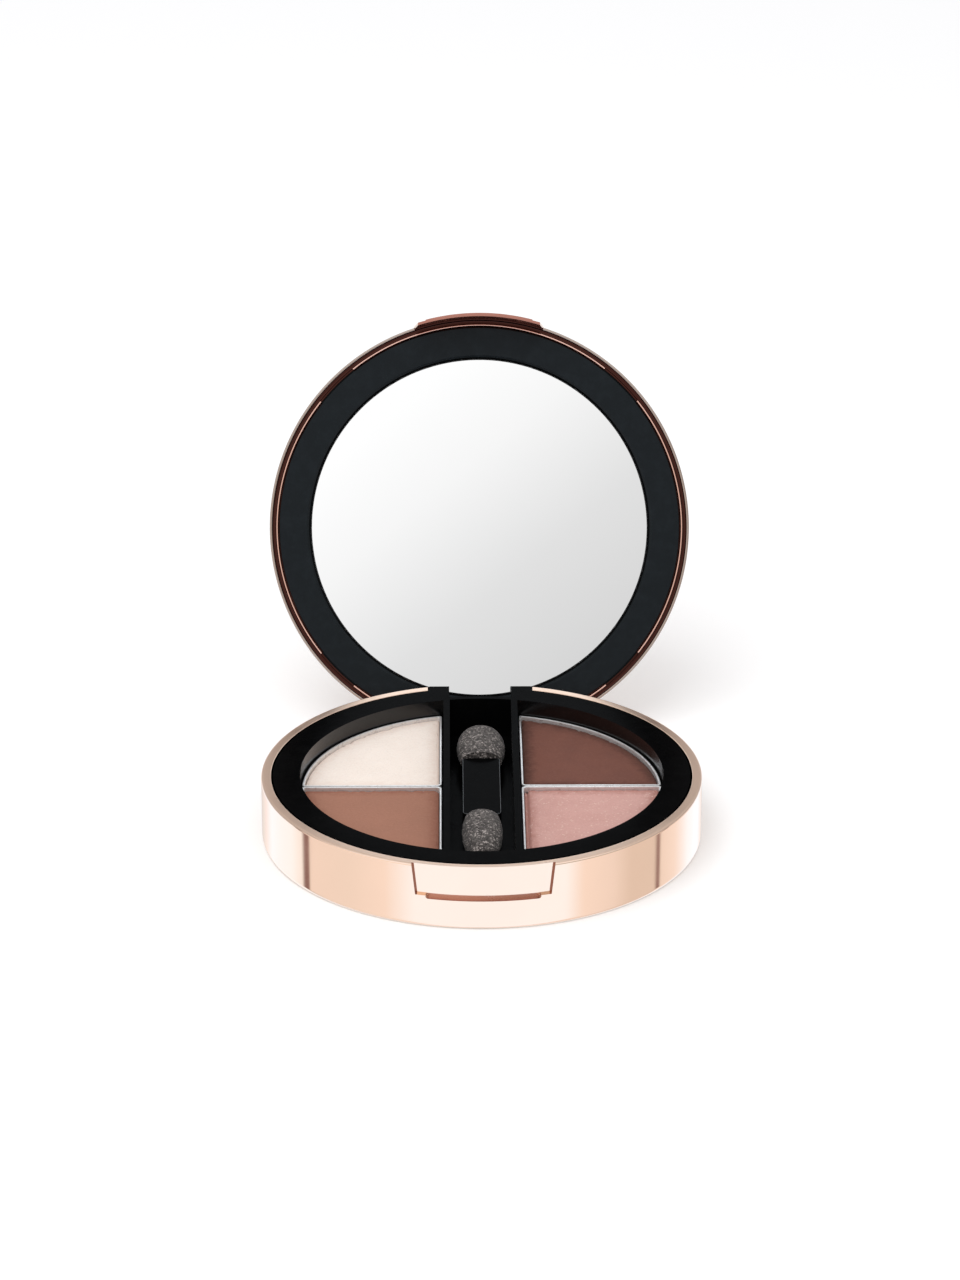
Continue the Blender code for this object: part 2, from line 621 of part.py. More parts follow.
# ---------------------------------------------------------------- assembly
def hang_on(name, place, pieces):
    """An empty on a joint's axis that carries the pieces, which keep their places."""
    carrier = bpy.data.objects.new(name, None)
    carrier.empty_display_size = 0.01
    carrier.location = place
    PARTS.objects.link(carrier)
    for piece in pieces:
        piece.parent = carrier
        piece.matrix_parent_inverse = Matrix.Translation(-Vector(place))
    return carrier


base_shell = make_base_shell()
tray = make_tray()
make_pan("cream", -1, 1)
make_pan("terracotta", -1, -1)
make_pan("brown", 1, 1)
make_pan("pink", 1, -1)
pin_reach = EAR_OUTER - PIN_END_INSET
paint(cylinder("hinge_pin", PIN_DIAMETER / 2, -pin_reach, pin_reach, along=ALONG_X, centre=HINGE,
               facets=16), STEEL)

handle = make_handle()
small_tip = make_tip("sponge_small", SMALL_TIP_LENGTH, SMALL_TIP_WIDTH,
                     HANDLE_FRONT_Y - CLEARANCE, -1)
large_tip = make_tip("sponge_large", LARGE_TIP_LENGTH, LARGE_TIP_WIDTH,
                     HANDLE_BACK_Y + CLEARANCE, 1)
applicator_tools = [tool for tool in CUTTERS.objects
                    if tool.name == "handle_neck" or tool.name.endswith("_socket")]
hang_on("applicator_lift", (0, 0, TIP_HEIGHT), [handle, small_tip, large_tip] + applicator_tools)

base_tools = set(CUTTERS.objects)
lid_parts = [make_lid_shell(), make_mirror_plate(), make_mirror(), make_mirror_tape()]
lid_tools = [tool for tool in CUTTERS.objects if tool not in base_tools]
lid_hinge = hang_on("lid_hinge", HINGE, lid_parts + lid_tools)
lid_hinge.rotation_euler.x = -OPEN_ANGLE
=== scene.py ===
"""Looks of the round eyeshadow compact: finer meshes, procedural materials, light and camera.

Metres, +Z up, in the CAD frame. Lid pieces are drawn closed and then opened to the lid's rest
place. Every texture follows the object's own coordinates.
"""
import json
import math

import bmesh
import bpy
from mathutils import Matrix, Vector, noise


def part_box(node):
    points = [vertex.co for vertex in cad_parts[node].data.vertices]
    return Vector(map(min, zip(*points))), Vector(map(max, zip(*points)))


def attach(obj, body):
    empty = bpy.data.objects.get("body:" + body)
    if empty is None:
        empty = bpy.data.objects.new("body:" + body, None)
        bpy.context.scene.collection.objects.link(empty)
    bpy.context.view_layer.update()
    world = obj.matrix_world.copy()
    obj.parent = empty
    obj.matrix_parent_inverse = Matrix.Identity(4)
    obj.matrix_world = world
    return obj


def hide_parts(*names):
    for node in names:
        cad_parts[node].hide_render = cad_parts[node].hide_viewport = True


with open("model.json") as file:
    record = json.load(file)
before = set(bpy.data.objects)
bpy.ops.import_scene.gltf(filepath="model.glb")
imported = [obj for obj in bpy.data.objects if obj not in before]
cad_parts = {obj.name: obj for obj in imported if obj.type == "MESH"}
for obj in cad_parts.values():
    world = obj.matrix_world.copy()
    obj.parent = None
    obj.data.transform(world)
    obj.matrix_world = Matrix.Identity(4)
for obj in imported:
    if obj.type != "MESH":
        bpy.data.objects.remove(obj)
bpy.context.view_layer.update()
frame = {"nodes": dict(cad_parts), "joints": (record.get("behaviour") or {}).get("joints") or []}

# ---------------------------------------------------------------- sizes
FACETS = 240
CLEARANCE = 0.0003

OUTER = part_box("base_shell")[1].x
RIM_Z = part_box("tray")[1].z
RIM_WIDTH = 0.0017
RIM_ROUNDING = 0.00045
FOOT_ROUNDING = 0.0008
BASE_FLOOR = 0.0012
FLOOR_STEP = 0.0002
BORE = OUTER - RIM_WIDTH

TRAY_RADIUS = BORE - CLEARANCE
RING_WIDTH = 0.0046
WELL_RADIUS = TRAY_RADIUS - RING_WIDTH
WELL_FLOOR = 0.0040
RING_THICKNESS = 0.0013
TRAY_WALL = 0.0010
TRAY_FLOOR = 0.0010
SKIRT_DEPTH = 0.0061
SKIRT_WALL = 0.0010
FOOT_RING_RADIUS = 0.0190
FOOT_RING_WIDTH = 0.0012
CHANNEL_HALF = 0.0054
BAR_OUTER = 0.0065
TRAY_EDGE = 0.00014

PAN_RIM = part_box("pan_cream")[1].z
PAN_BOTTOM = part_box("pan_cream")[0].z
PAN_WALL = 0.00035
PAN_CORNER = 0.0008
PAN_DIVIDER_Y = 0.0004
PAN_EDGE = 0.00009
POWDER_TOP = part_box("powder_cream")[1].z

ROOF = 0.0012
LID_ROUNDING = 0.0028
OUTER_LIP = 0.00045
RIM_GROOVE = 0.00075
RIM_GROOVE_DEPTH = 0.0006
INNER_LIP = 0.00025
LID_HEIGHT = 0.0048
LID_PLANE = RIM_Z + CLEARANCE
LID_TOP = LID_PLANE + LID_HEIGHT
ROOF_UNDERSIDE = LID_TOP - ROOF
LID_BORE = OUTER - OUTER_LIP - RIM_GROOVE - INNER_LIP
PLATE_RADIUS = LID_BORE - CLEARANCE
PLATE_RECESS = 0.0003
PLATE_FACE = LID_PLANE + PLATE_RECESS
PLATE_RIM_WIDTH = 0.0053
MIRROR_POCKET = PLATE_RADIUS - PLATE_RIM_WIDTH
MIRROR_RADIUS = MIRROR_POCKET - CLEARANCE
MIRROR_RECESS = 0.0003
MIRROR_FACE = PLATE_FACE + MIRROR_RECESS
MIRROR_THICKNESS = 0.0012
MIRROR_BEVEL = 0.0002
PLATE_CHAMFER = 0.00035
POCKET_DEPTH = 0.0023
POCKET_FLOOR = PLATE_FACE + POCKET_DEPTH

SNAP_ANGLES = (45.0, 135.0, 225.0, 315.0)
SNAP_HALF_ANGLE = 6.5
SNAP_POCKET_HALF_ANGLE = 8.0
SNAP_REACH = 0.0006
SNAP_HEIGHT = 0.0009
TRAY_SNAP_DROP = 0.0045
PLATE_SNAP_RISE = 0.0013
LIP_GAP_DEPTH = 0.0004

RECESS_TOP_WIDTH = 0.0235
RECESS_BOTTOM_WIDTH = 0.0223
RECESS_HEIGHT = 0.0054
RECESS_DEPTH = 0.0006
FLAP_GAP = 0.0004
FLAP_SKIN = 0.00045
FLAP_PROUD = 0.0004
FLAP_PAD_WIDTH = 0.0190
FLAP_ROOT = 0.0019
PAD_RISE = 0.0001
SLOT_WIDTH = 0.0189
SLOT_HEIGHT = 0.0008
SLOT_DEPTH = 0.0012

JOINTS = {joint["name"]: joint for joint in frame["joints"]}
HINGE = Vector(JOINTS["lid_hinge"]["pos_m"])
OPEN_ANGLE = math.radians(-JOINTS["lid_hinge"]["range_deg"][0])
BACK_FLAT_INSET = 0.0009
BACK_FLAT = OUTER - BACK_FLAT_INSET
EAR_BACK = BACK_FLAT - CLEARANCE
KNUCKLE_HALF = 0.0052
KNUCKLE_FRONT = 0.0013
KNUCKLE_BACK = 0.0016
EAR_INNER = KNUCKLE_HALF + CLEARANCE
EAR_WIDTH = 0.0035
EAR_OUTER = EAR_INNER + EAR_WIDTH
NOTCH_HALF = EAR_OUTER + CLEARANCE
PIN_BORE = 0.00105
BARREL_WALL = 0.00085
BARREL = PIN_BORE + BARREL_WALL
COVE_HALF = 0.0130
COVE_RADIUS = math.hypot(EAR_BACK - HINGE.y, RIM_Z - HINGE.z) + CLEARANCE

HANDLE_LOW, HANDLE_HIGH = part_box("applicator_handle")
TIP_Z = (HANDLE_LOW.z + HANDLE_HIGH.z) / 2
HANDLE_FRONT_Y = -0.0093
HANDLE_BACK_Y = 0.0132
HANDLE_CORNER = 0.0007
HANDLE_EDGE = 0.00022
NECK_HALF_WIDTH = 0.0013
NECK_HALF_HEIGHT = 0.0007
NECK_LENGTH = 0.0075
TIP_MOUTH = 0.62
TIP_FULLNESS = 0.75

# how far cutters reach past what they cut, and the slack when faces are picked by place
FAR = 0.004
FACE_MARGIN = 0.0001
TO_MM = 1000

# powder: what wear takes off the top, in metres, and the width of the painted edge shade
CAKE_VOXEL = 0.00024
CAKE_SKIN = 0.0005
CAKE_SINK = 0.00004
EDGE_SHADE_BAND = 0.0032
WORN_BAND = 0.0007
WORN_DEPTH = 0.00016
CHIP_BAND = 0.0011
CHIP_DEPTH = 0.0006
CRACK_PLACE = 0.00062
CRACK_HALF_WIDTH = 0.00024
CRACK_DEPTH = 0.0007
FOAM_SINK = 0.00009

# moves a lid piece from closed to the lid's rest place
OPENED = (Matrix.Translation(HINGE) @ Matrix.Rotation(-OPEN_ANGLE, 4, "X")
          @ Matrix.Translation(-HINGE))

# how an outline lies: flat, in y and z along X, and in x and z facing the front
ALONG_Z = Matrix.Identity(4)
ALONG_X = Matrix(((0, 0, 1, 0), (1, 0, 0, 0), (0, 1, 0, 0), (0, 0, 0, 1)))
ALONG_Y = Matrix(((1, 0, 0, 0), (0, 0, -1, 0), (0, 1, 0, 0), (0, 0, 0, 1)))


# ---------------------------------------------------------------- outlines
def arc(radius, start, end, steps, centre=(0.0, 0.0)):
    """Points on a circle from the start angle to the end angle, in degrees."""
    points = []
    for step in range(steps + 1):
        angle = math.radians(start + (end - start) * step / steps)
        points.append((centre[0] + radius * math.cos(angle),
                       centre[1] + radius * math.sin(angle)))
    return points


def rounded(points, radii, steps=8):
    """The outline with the corners that radii names by index rounded off."""
    result = []
    for index, corner in enumerate(points):
        radius = radii.get(index, 0)
        if not radius:
            result.append(corner)
            continue
        here = Vector(corner)
        before = (Vector(points[index - 1]) - here).normalized()
        after = (Vector(points[(index + 1) % len(points)]) - here).normalized()
        half = before.angle(after) / 2
        centre = here + (before + after).normalized() * (radius / math.sin(half))
        first = here + before * (radius / math.tan(half)) - centre
        last = here + after * (radius / math.tan(half)) - centre
        for step in range(steps + 1):
            spoke = first.normalized().slerp(last.normalized(), step / steps)
            result.append(tuple(centre + spoke * radius))
    return result


def trapezoid(bottom_width, top_width, bottom, top):
    """A symmetric outline in x and z."""
    return [(-bottom_width / 2, bottom), (bottom_width / 2, bottom),
            (top_width / 2, top), (-top_width / 2, top)]


# ---------------------------------------------------------------- solids
def placed(name, shape, matrix=ALONG_Z):
    """A mesh object from a bmesh, with its faces pointing out."""
    bmesh.ops.transform(shape, verts=shape.verts, matrix=matrix)
    bmesh.ops.recalc_face_normals(shape, faces=shape.faces)
    mesh = bpy.data.meshes.new(name)
    shape.to_mesh(mesh)
    shape.free()
    solid = bpy.data.objects.new(name, mesh)
    bpy.context.scene.collection.objects.link(solid)
    return solid


def turned(name, profile, matrix=ALONG_Z, ring=False, facets=FACETS):
    """Turns a profile of (radius, height) about Z; a ring's profile is a closed loop."""
    shape = bmesh.new()
    rows = []
    for radius, height in profile:
        count = facets if radius > 1e-7 else 1
        rows.append([shape.verts.new((radius * math.cos(math.tau * step / facets),
                                      radius * math.sin(math.tau * step / facets), height))
                     for step in range(count)])
    pairs = list(zip(rows, rows[1:]))
    if ring:
        pairs.append((rows[-1], rows[0]))
    for first, second in pairs:
        for step in range(facets):
            after = (step + 1) % facets
            corners = [first[step % len(first)], first[after % len(first)],
                       second[after % len(second)], second[step % len(second)]]
            corners = list(dict.fromkeys(corners))
            if len(corners) > 2:
                shape.faces.new(corners)
    return placed(name, shape, matrix)


def prism(name, outline, start, end, along=ALONG_Z):
    """A flat outline with thickness from start to end along the axis."""
    shape = bmesh.new()
    floor = shape.faces.new([shape.verts.new((across, up, start)) for across, up in outline])
    raised = bmesh.ops.extrude_face_region(shape, geom=[floor])["geom"]
    bmesh.ops.translate(shape, vec=(0, 0, end - start),
                        verts=[item for item in raised if isinstance(item, bmesh.types.BMVert)])
    return placed(name, shape, along)


def block(name, low, high):
    """A block between two corners."""
    outline = [(low[0], low[1]), (high[0], low[1]), (high[0], high[1]), (low[0], high[1])]
    return prism(name, outline, low[2], high[2])


def rod(name, radius, half_length, centre, facets=96):
    """A round rod along X through the centre."""
    return prism(name, arc(radius, 0, 360 - 360 / facets, facets - 1, (centre.y, centre.z)),
                 -half_length, half_length, ALONG_X)


def ring_block(name, inner, outer, middle, half_angle, bottom, top):
    """A piece of a ring, as wide as twice the half angle in degrees."""
    start = middle - half_angle
    end = middle + half_angle
    outline = arc(outer, start, end, 12) + arc(inner, end, start, 12)
    return prism(name, outline, bottom, top)


def settled(part):
    """The part with its modifiers applied."""
    graph = bpy.context.evaluated_depsgraph_get()
    mesh = bpy.data.meshes.new_from_object(part.evaluated_get(graph))
    old = part.data
    part.modifiers.clear()
    part.data = mesh
    mesh.name = old.name
    bpy.data.meshes.remove(old)
    return part


def combined(part, operation, tools):
    """Joins the tools to the part, cuts them away, or keeps what is shared."""
    for tool in tools:
        step = part.modifiers.new("combine", "BOOLEAN")
        step.operation = operation
        step.solver = "EXACT"
        step.object = tool
    settled(part)
    for tool in tools:
        bpy.data.objects.remove(tool, do_unlink=True)
    return part


def gathered(name, pieces):
    """Separate pieces as one mesh, to cut or join in one step."""
    shape = bmesh.new()
    for piece in pieces:
        shape.from_mesh(piece.data)
        bpy.data.objects.remove(piece, do_unlink=True)
    return placed(name, shape)


def edged(part, width, segments=2, angle=40):
    """Small rounded edges where faces meet at more than the angle."""
    step = part.modifiers.new("edges", "BEVEL")
    step.width = width
    step.segments = segments
    step.limit_method = "ANGLE"
    step.angle_limit = math.radians(angle)
    step.miter_outer = "MITER_ARC"
    step.harden_normals = False
    return settled(part)


def smoothed(part, angle=32):
    """Smooth shading that stays flat on large faces and breaks at sharp edges."""
    part.data.shade_smooth()
    part.data.set_sharp_from_angle(angle=math.radians(angle))
    step = part.modifiers.new("even_normals", "WEIGHTED_NORMAL")
    step.mode = "FACE_AREA"
    step.keep_sharp = True
    return settled(part)


def welded(part):
    """Merges doubles and removes loose bits that cuts leave."""
    shape = bmesh.new()
    shape.from_mesh(part.data)
    bmesh.ops.remove_doubles(shape, verts=shape.verts, dist=2e-6)
    bmesh.ops.dissolve_degenerate(shape, edges=shape.edges, dist=1e-6)
    loose = [vert for vert in shape.verts if not vert.link_faces]
    bmesh.ops.delete(shape, geom=loose, context="VERTS")
    shape.to_mesh(part.data)
    shape.free()
    return part


def shown(part, body, slot, nodes, *finishes):
    """Gives the piece its finishes and its body, and hides the CAD nodes it stands for; slot is
    not used.
    """
    for finish in finishes:
        part.data.materials.append(finish)
    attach(part, body)
    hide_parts(*nodes)
    return part


# ---------------------------------------------------------------- materials
# the colour sockets of a Mix node, by index: two inputs and the output
MIX_FIRST = 6
MIX_SECOND = 7
MIX_RESULT = 2
MOULD_GRAIN = 0.00035
MOULD_RELIEF = 0.0000015


class Finish:
    """A Principled material with procedural detail in the object's own coordinates."""

    def __init__(self, name, colour, roughness, metallic=0.0, **sockets):
        self.material = bpy.data.materials.new(name)
        self.material.use_nodes = True
        self.nodes = self.material.node_tree.nodes
        self.links = self.material.node_tree.links
        self.shader = self.nodes["Principled BSDF"]
        self.colour = colour
        self.set(Base_Color=(*colour, 1), Roughness=roughness, Metallic=metallic, **sockets)
        self.place = self.nodes.new("ShaderNodeTexCoord").outputs["Object"]
        self.height = None

    def set(self, **sockets):
        for socket, value in sockets.items():
            self.shader.inputs[socket.replace("_", " ")].default_value = value

    def stretched(self, stretch):
        mapping = self.nodes.new("ShaderNodeMapping")
        mapping.inputs["Scale"].default_value = stretch
        self.links.new(self.place, mapping.inputs["Vector"])
        return mapping.outputs["Vector"]

    def noise(self, size, detail=4.0, roughness=0.55, stretch=(1, 1, 1)):
        """Soft noise whose features are about the size, in metres."""
        node = self.nodes.new("ShaderNodeTexNoise")
        node.inputs["Scale"].default_value = 1 / size
        node.inputs["Detail"].default_value = detail
        node.inputs["Roughness"].default_value = roughness
        self.links.new(self.stretched(stretch), node.inputs["Vector"])
        return node.outputs["Fac"]

    def grains(self, size):
        """A random grey for each grain, and the distance from its middle; size in metres."""
        node = self.nodes.new("ShaderNodeTexVoronoi")
        node.inputs["Scale"].default_value = 1 / size
        self.links.new(self.place, node.inputs["Vector"])
        split = self.nodes.new("ShaderNodeSeparateColor")
        self.links.new(node.outputs["Color"], split.inputs["Color"])
        return split.outputs["Red"], node.outputs["Distance"]

    def attribute(self, name):
        node = self.nodes.new("ShaderNodeAttribute")
        node.attribute_name = name
        return node.outputs["Fac"]

    def ranged(self, field, low, high, to_low=0.0, to_high=1.0, smooth=False):
        node = self.nodes.new("ShaderNodeMapRange")
        node.interpolation_type = "SMOOTHSTEP" if smooth else "LINEAR"
        for socket, value in (("From Min", low), ("From Max", high), ("To Min", to_low),
                              ("To Max", to_high)):
            node.inputs[socket].default_value = value
        self.links.new(field, node.inputs["Value"])
        return node.outputs["Result"]

    def tinted(self, field, other):
        """Blends the colour so far towards another colour where the field is 1."""
        mix = self.nodes.new("ShaderNodeMix")
        mix.data_type = "RGBA"
        target = self.shader.inputs["Base Color"]
        mix.inputs[MIX_FIRST].default_value = (*self.colour, 1)
        mix.inputs[MIX_SECOND].default_value = (*other, 1)
        if target.is_linked:
            self.links.new(target.links[0].from_socket, mix.inputs[MIX_FIRST])
        self.links.new(field, mix.inputs[0])
        self.links.new(mix.outputs[MIX_RESULT], target)
        return self

    def rough(self, field):
        self.links.new(field, self.shader.inputs["Roughness"])
        return self

    def raised(self, field, height):
        """Adds relief of the height, in metres, where the field is 1."""
        bump = self.nodes.new("ShaderNodeBump")
        bump.inputs["Distance"].default_value = height
        self.links.new(field, bump.inputs["Height"])
        if self.height is not None:
            self.links.new(self.height, bump.inputs["Normal"])
        self.height = bump.outputs["Normal"]
        self.links.new(self.height, self.shader.inputs["Normal"])
        return self


def metallised(name, colour, low, high, wave=0.000002):
    """Vacuum-metallised plastic: faint moulding waves, haze and a little tone variation."""
    finish = Finish(name, colour, low, 1.0)
    haze = finish.noise(0.006, 3)
    finish.rough(finish.ranged(haze, 0.3, 0.7, low, high))
    finish.tinted(finish.ranged(finish.noise(0.011, 2), 0.35, 0.65, 0, 0.5),
                  tuple(channel * 0.965 for channel in colour))
    finish.raised(finish.noise(0.005, 2), wave)
    return finish.material


def moulded(name, colour, low, high, level):
    """Moulded plastic: fine grain, uneven gloss and faint dust-like lighter specks."""
    finish = Finish(name, colour, low, Specular_IOR_Level=level)
    finish.rough(finish.ranged(finish.noise(0.004, 5), 0.3, 0.7, low, high))
    finish.tinted(finish.ranged(finish.noise(0.0021, 6, 0.7), 0.45, 0.75, 0, 0.8),
                  tuple(channel * 1.5 + 0.0008 for channel in colour))
    finish.raised(finish.noise(MOULD_GRAIN, 3), MOULD_RELIEF)
    return finish.material


ROSE = (0.90, 0.655, 0.500)
ROSE_GOLD = metallised("rose_gold", ROSE, 0.05, 0.09)
ROSE_SATIN = metallised("rose_gold_satin", (0.88, 0.645, 0.50), 0.30, 0.38, 0.000004)
# painted reflection: a darker, greyer copy of the rose gold for the lid's lip
ROSE_LIP_REFLECTION = metallised("rose_gold_lip_reflection", (0.44, 0.345, 0.290), 0.22, 0.34)
# painted reflection: a redder, darker copy of the rose gold gives the inner lip its copper line
ROSE_LINE_REFLECTION = metallised("rose_gold_line_reflection", (0.80, 0.47, 0.37), 0.12, 0.22)
# painted shade: a near-black copy of the rose gold for the lid's groove, its inside and the lip
# beside the flap
ROSE_GROOVE_SHADE = metallised("rose_gold_groove_shade", (0.060, 0.021, 0.016), 0.16, 0.30)
# painted shade: a darker copy of the rose gold for the recess sides and the slot walls
ROSE_RECESS_SHADE = metallised("rose_gold_recess_shade", (0.30, 0.135, 0.100), 0.16, 0.30)
# painted shade: a darker copy of the rose gold for the floor of the slot
ROSE_SLOT_SHADE = metallised("rose_gold_slot_shade", (0.70, 0.44, 0.35), 0.16, 0.30)
# painted shade: a darker, redder copy of the rose gold for the flap's end and inner face
ROSE_FLAP_SHADE = metallised("rose_gold_flap_shade", (0.48, 0.215, 0.165), 0.16, 0.34)
BLACK_GLOSS = moulded("black_gloss", (0.0022, 0.0022, 0.0023), 0.14, 0.24, 0.50)
BLACK_SATIN = moulded("black_satin", (0.0019, 0.0019, 0.0020), 0.18, 0.28, 0.004)
# painted highlight: a lighter, glossier black for bevel facets
BLACK_EDGE_HIGHLIGHT = moulded("black_edge_highlight", (0.0120, 0.0120, 0.0125), 0.18, 0.30, 0.50)
CHARCOAL = moulded("charcoal", (0.0062, 0.0086, 0.0105), 0.28, 0.38, 0.13)


def silvered():
    """Silvered glass with the faintest smears."""
    finish = Finish("mirror_silver", (0.965, 0.965, 0.965), 0.01, 1.0)
    finish.rough(finish.ranged(finish.noise(0.012, 4, 0.6, (1, 2.5, 1)), 0.5, 0.8, 0.004, 0.02))
    finish.tinted(finish.ranged(finish.noise(0.02, 2), 0.4, 0.7, 0, 0.4), (0.95, 0.955, 0.955))
    return finish.material


def ground_edge_copper_reflection():
    """The mirror's ground bevel, with brownish patches of painted copper reflection."""
    finish = Finish("mirror_bevel_copper_reflection", (0.80, 0.78, 0.76), 0.25, 1.0)
    finish.rough(finish.ranged(finish.noise(0.0006, 4), 0.3, 0.7, 0.18, 0.42))
    # painted reflection: brownish patches stand for the rose gold seen in the bevel
    finish.tinted(finish.ranged(finish.noise(0.0011, 4), 0.5, 0.7, 0, 0.6), (0.45, 0.36, 0.32))
    finish.raised(finish.noise(0.0002, 3), 0.000004)
    return finish.material


def drawn_aluminium():
    """Drawn sheet: fine streaks, dull pits and powder smears along the rim."""
    finish = Finish("aluminium", (0.88, 0.87, 0.86), 0.3, 0.6)
    streaks = finish.noise(0.0007, 5, 0.6, (0.35, 0.35, 3.0))
    finish.rough(finish.ranged(streaks, 0.3, 0.7, 0.24, 0.5))
    finish.tinted(finish.ranged(finish.noise(0.0009, 5, 0.7), 0.52, 0.72, 0, 0.8),
                  (0.60, 0.55, 0.52))
    finish.raised(streaks, 0.000006)
    return finish.material


def drawn_steel():
    """Drawn wire: fine rings along its length."""
    finish = Finish("steel", (0.66, 0.66, 0.67), 0.25, 1.0)
    rings = finish.noise(0.0004, 4, 0.6, (4.0, 0.4, 0.4))
    finish.rough(finish.ranged(rings, 0.3, 0.7, 0.18, 0.4))
    finish.tinted(finish.ranged(finish.noise(0.0018, 3), 0.5, 0.75, 0, 0.7), (0.46, 0.44, 0.43))
    finish.raised(rings, 0.000004)
    return finish.material


def hot_melt():
    """Cloudy yellowish glue."""
    finish = Finish("glue", (0.76, 0.71, 0.58), 0.35, Subsurface_Weight=0.2,
                    Subsurface_Scale=0.0006)
    finish.tinted(finish.ranged(finish.noise(0.002, 4), 0.4, 0.7, 0, 1), (0.66, 0.58, 0.42))
    finish.rough(finish.ranged(finish.noise(0.0012, 3), 0.3, 0.7, 0.25, 0.5))
    finish.raised(finish.noise(0.0012, 3), 0.00005)
    return finish.material


def foam_tape():
    """Off-white foam with fine cells."""
    finish = Finish("foam_tape", (0.84, 0.84, 0.80), 0.85)
    tone, cell = finish.grains(0.0003)
    finish.tinted(finish.ranged(tone, 0.5, 1, 0, 0.6), (0.70, 0.70, 0.66))
    finish.rough(finish.ranged(finish.noise(0.002, 3), 0.3, 0.7, 0.75, 0.95))
    finish.raised(cell, 0.00004)
    return finish.material


def flocked(name, cell_size):
    """Sponge foam: mottled dark grey with pale open cells that catch the light."""
    finish = Finish(name, (0.062, 0.054, 0.050), 0.9, Sheen_Weight=0.12, Sheen_Roughness=0.5,
                    Specular_IOR_Level=0.2)
    tone, cell = finish.grains(cell_size)
    finish.tinted(finish.ranged(finish.noise(0.0010, 5, 0.7), 0.40, 0.64, 0, 0.9),
                  (0.150, 0.134, 0.124))
    finish.tinted(finish.ranged(tone, 0.72, 0.95, 0, 0.9), (0.50, 0.44, 0.41))
    fine, fine_cell = finish.grains(0.00016)
    finish.tinted(finish.ranged(fine, 0.62, 0.95, 0, 0.9), (0.020, 0.017, 0.016))
    finish.rough(finish.ranged(tone, 0.7, 1.0, 0.95, 0.6))
    finish.raised(finish.ranged(cell, 0, 0.6, 1, 0), 0.00009)
    finish.raised(finish.ranged(fine_cell, 0, 0.6, 1, 0), 0.00004)
    return finish.material


def pressed(name, middle, edge, shade, sparkle=None):
    """Pressed powder: cloudy tone, fine grains, and painted shade: the edge colour near the rim
    and on the sides.
    """
    finish = Finish(name, middle, 0.92, Sheen_Weight=0.02, Sheen_Roughness=0.6,
                    Specular_IOR_Level=0.08)
    finish.tinted(finish.ranged(finish.noise(0.007, 4, 0.6), 0.40, 0.68, 0, 0.75), shade)
    # painted shade: the edge colour, strongest at the rim and on the sides, broken up by a
    # little noise
    painted_edge_shade = finish.nodes.new("ShaderNodeMath")
    painted_edge_shade.operation = "ADD"
    finish.links.new(finish.attribute("edge"), painted_edge_shade.inputs[0])
    finish.links.new(finish.ranged(finish.noise(0.0016, 5, 0.7), 0.3, 0.7, -0.22, 0.22),
                     painted_edge_shade.inputs[1])
    finish.tinted(finish.ranged(painted_edge_shade.outputs[0], 0.15, 0.95, 0, 1, True), edge)
    tone, cell = finish.grains(0.00016)
    finish.tinted(finish.ranged(tone, 0.0, 0.25, 0.28, 0), tuple(c * 0.72 for c in middle))
    finish.tinted(finish.ranged(tone, 0.82, 1.0, 0, 0.30),
                  tuple(min(1, c * 1.22 + 0.01) for c in middle))
    if sparkle:
        fleck = finish.grains(0.00021)[0]
        finish.tinted(finish.ranged(fleck, 0.95, 0.99, 0, 0.45), sparkle)
        finish.rough(finish.ranged(fleck, 0.90, 0.99, 0.85, 0.30))
    else:
        finish.rough(finish.ranged(finish.noise(0.0008, 4), 0.3, 0.7, 0.82, 0.98))
    finish.raised(finish.noise(0.0005, 6, 0.75), 0.00003)
    finish.raised(cell, 0.000012)
    return finish.material


# ---------------------------------------------------------------- base shell
def front_panel(name, outline, inner, outer):
    """The stretch of a ring, seen from the front, that lies inside an outline in x and z."""
    panel = prism(name, outline, OUTER / 2, OUTER + FAR, ALONG_Y)
    low = min(up for across, up in outline) - FAR
    high = max(up for across, up in outline) + FAR
    ring = turned(name + "_ring", [(inner, high), (outer, high), (outer, low), (inner, low)],
                  ring=True, facets=3 * FACETS)
    return combined(panel, "INTERSECT", [ring])


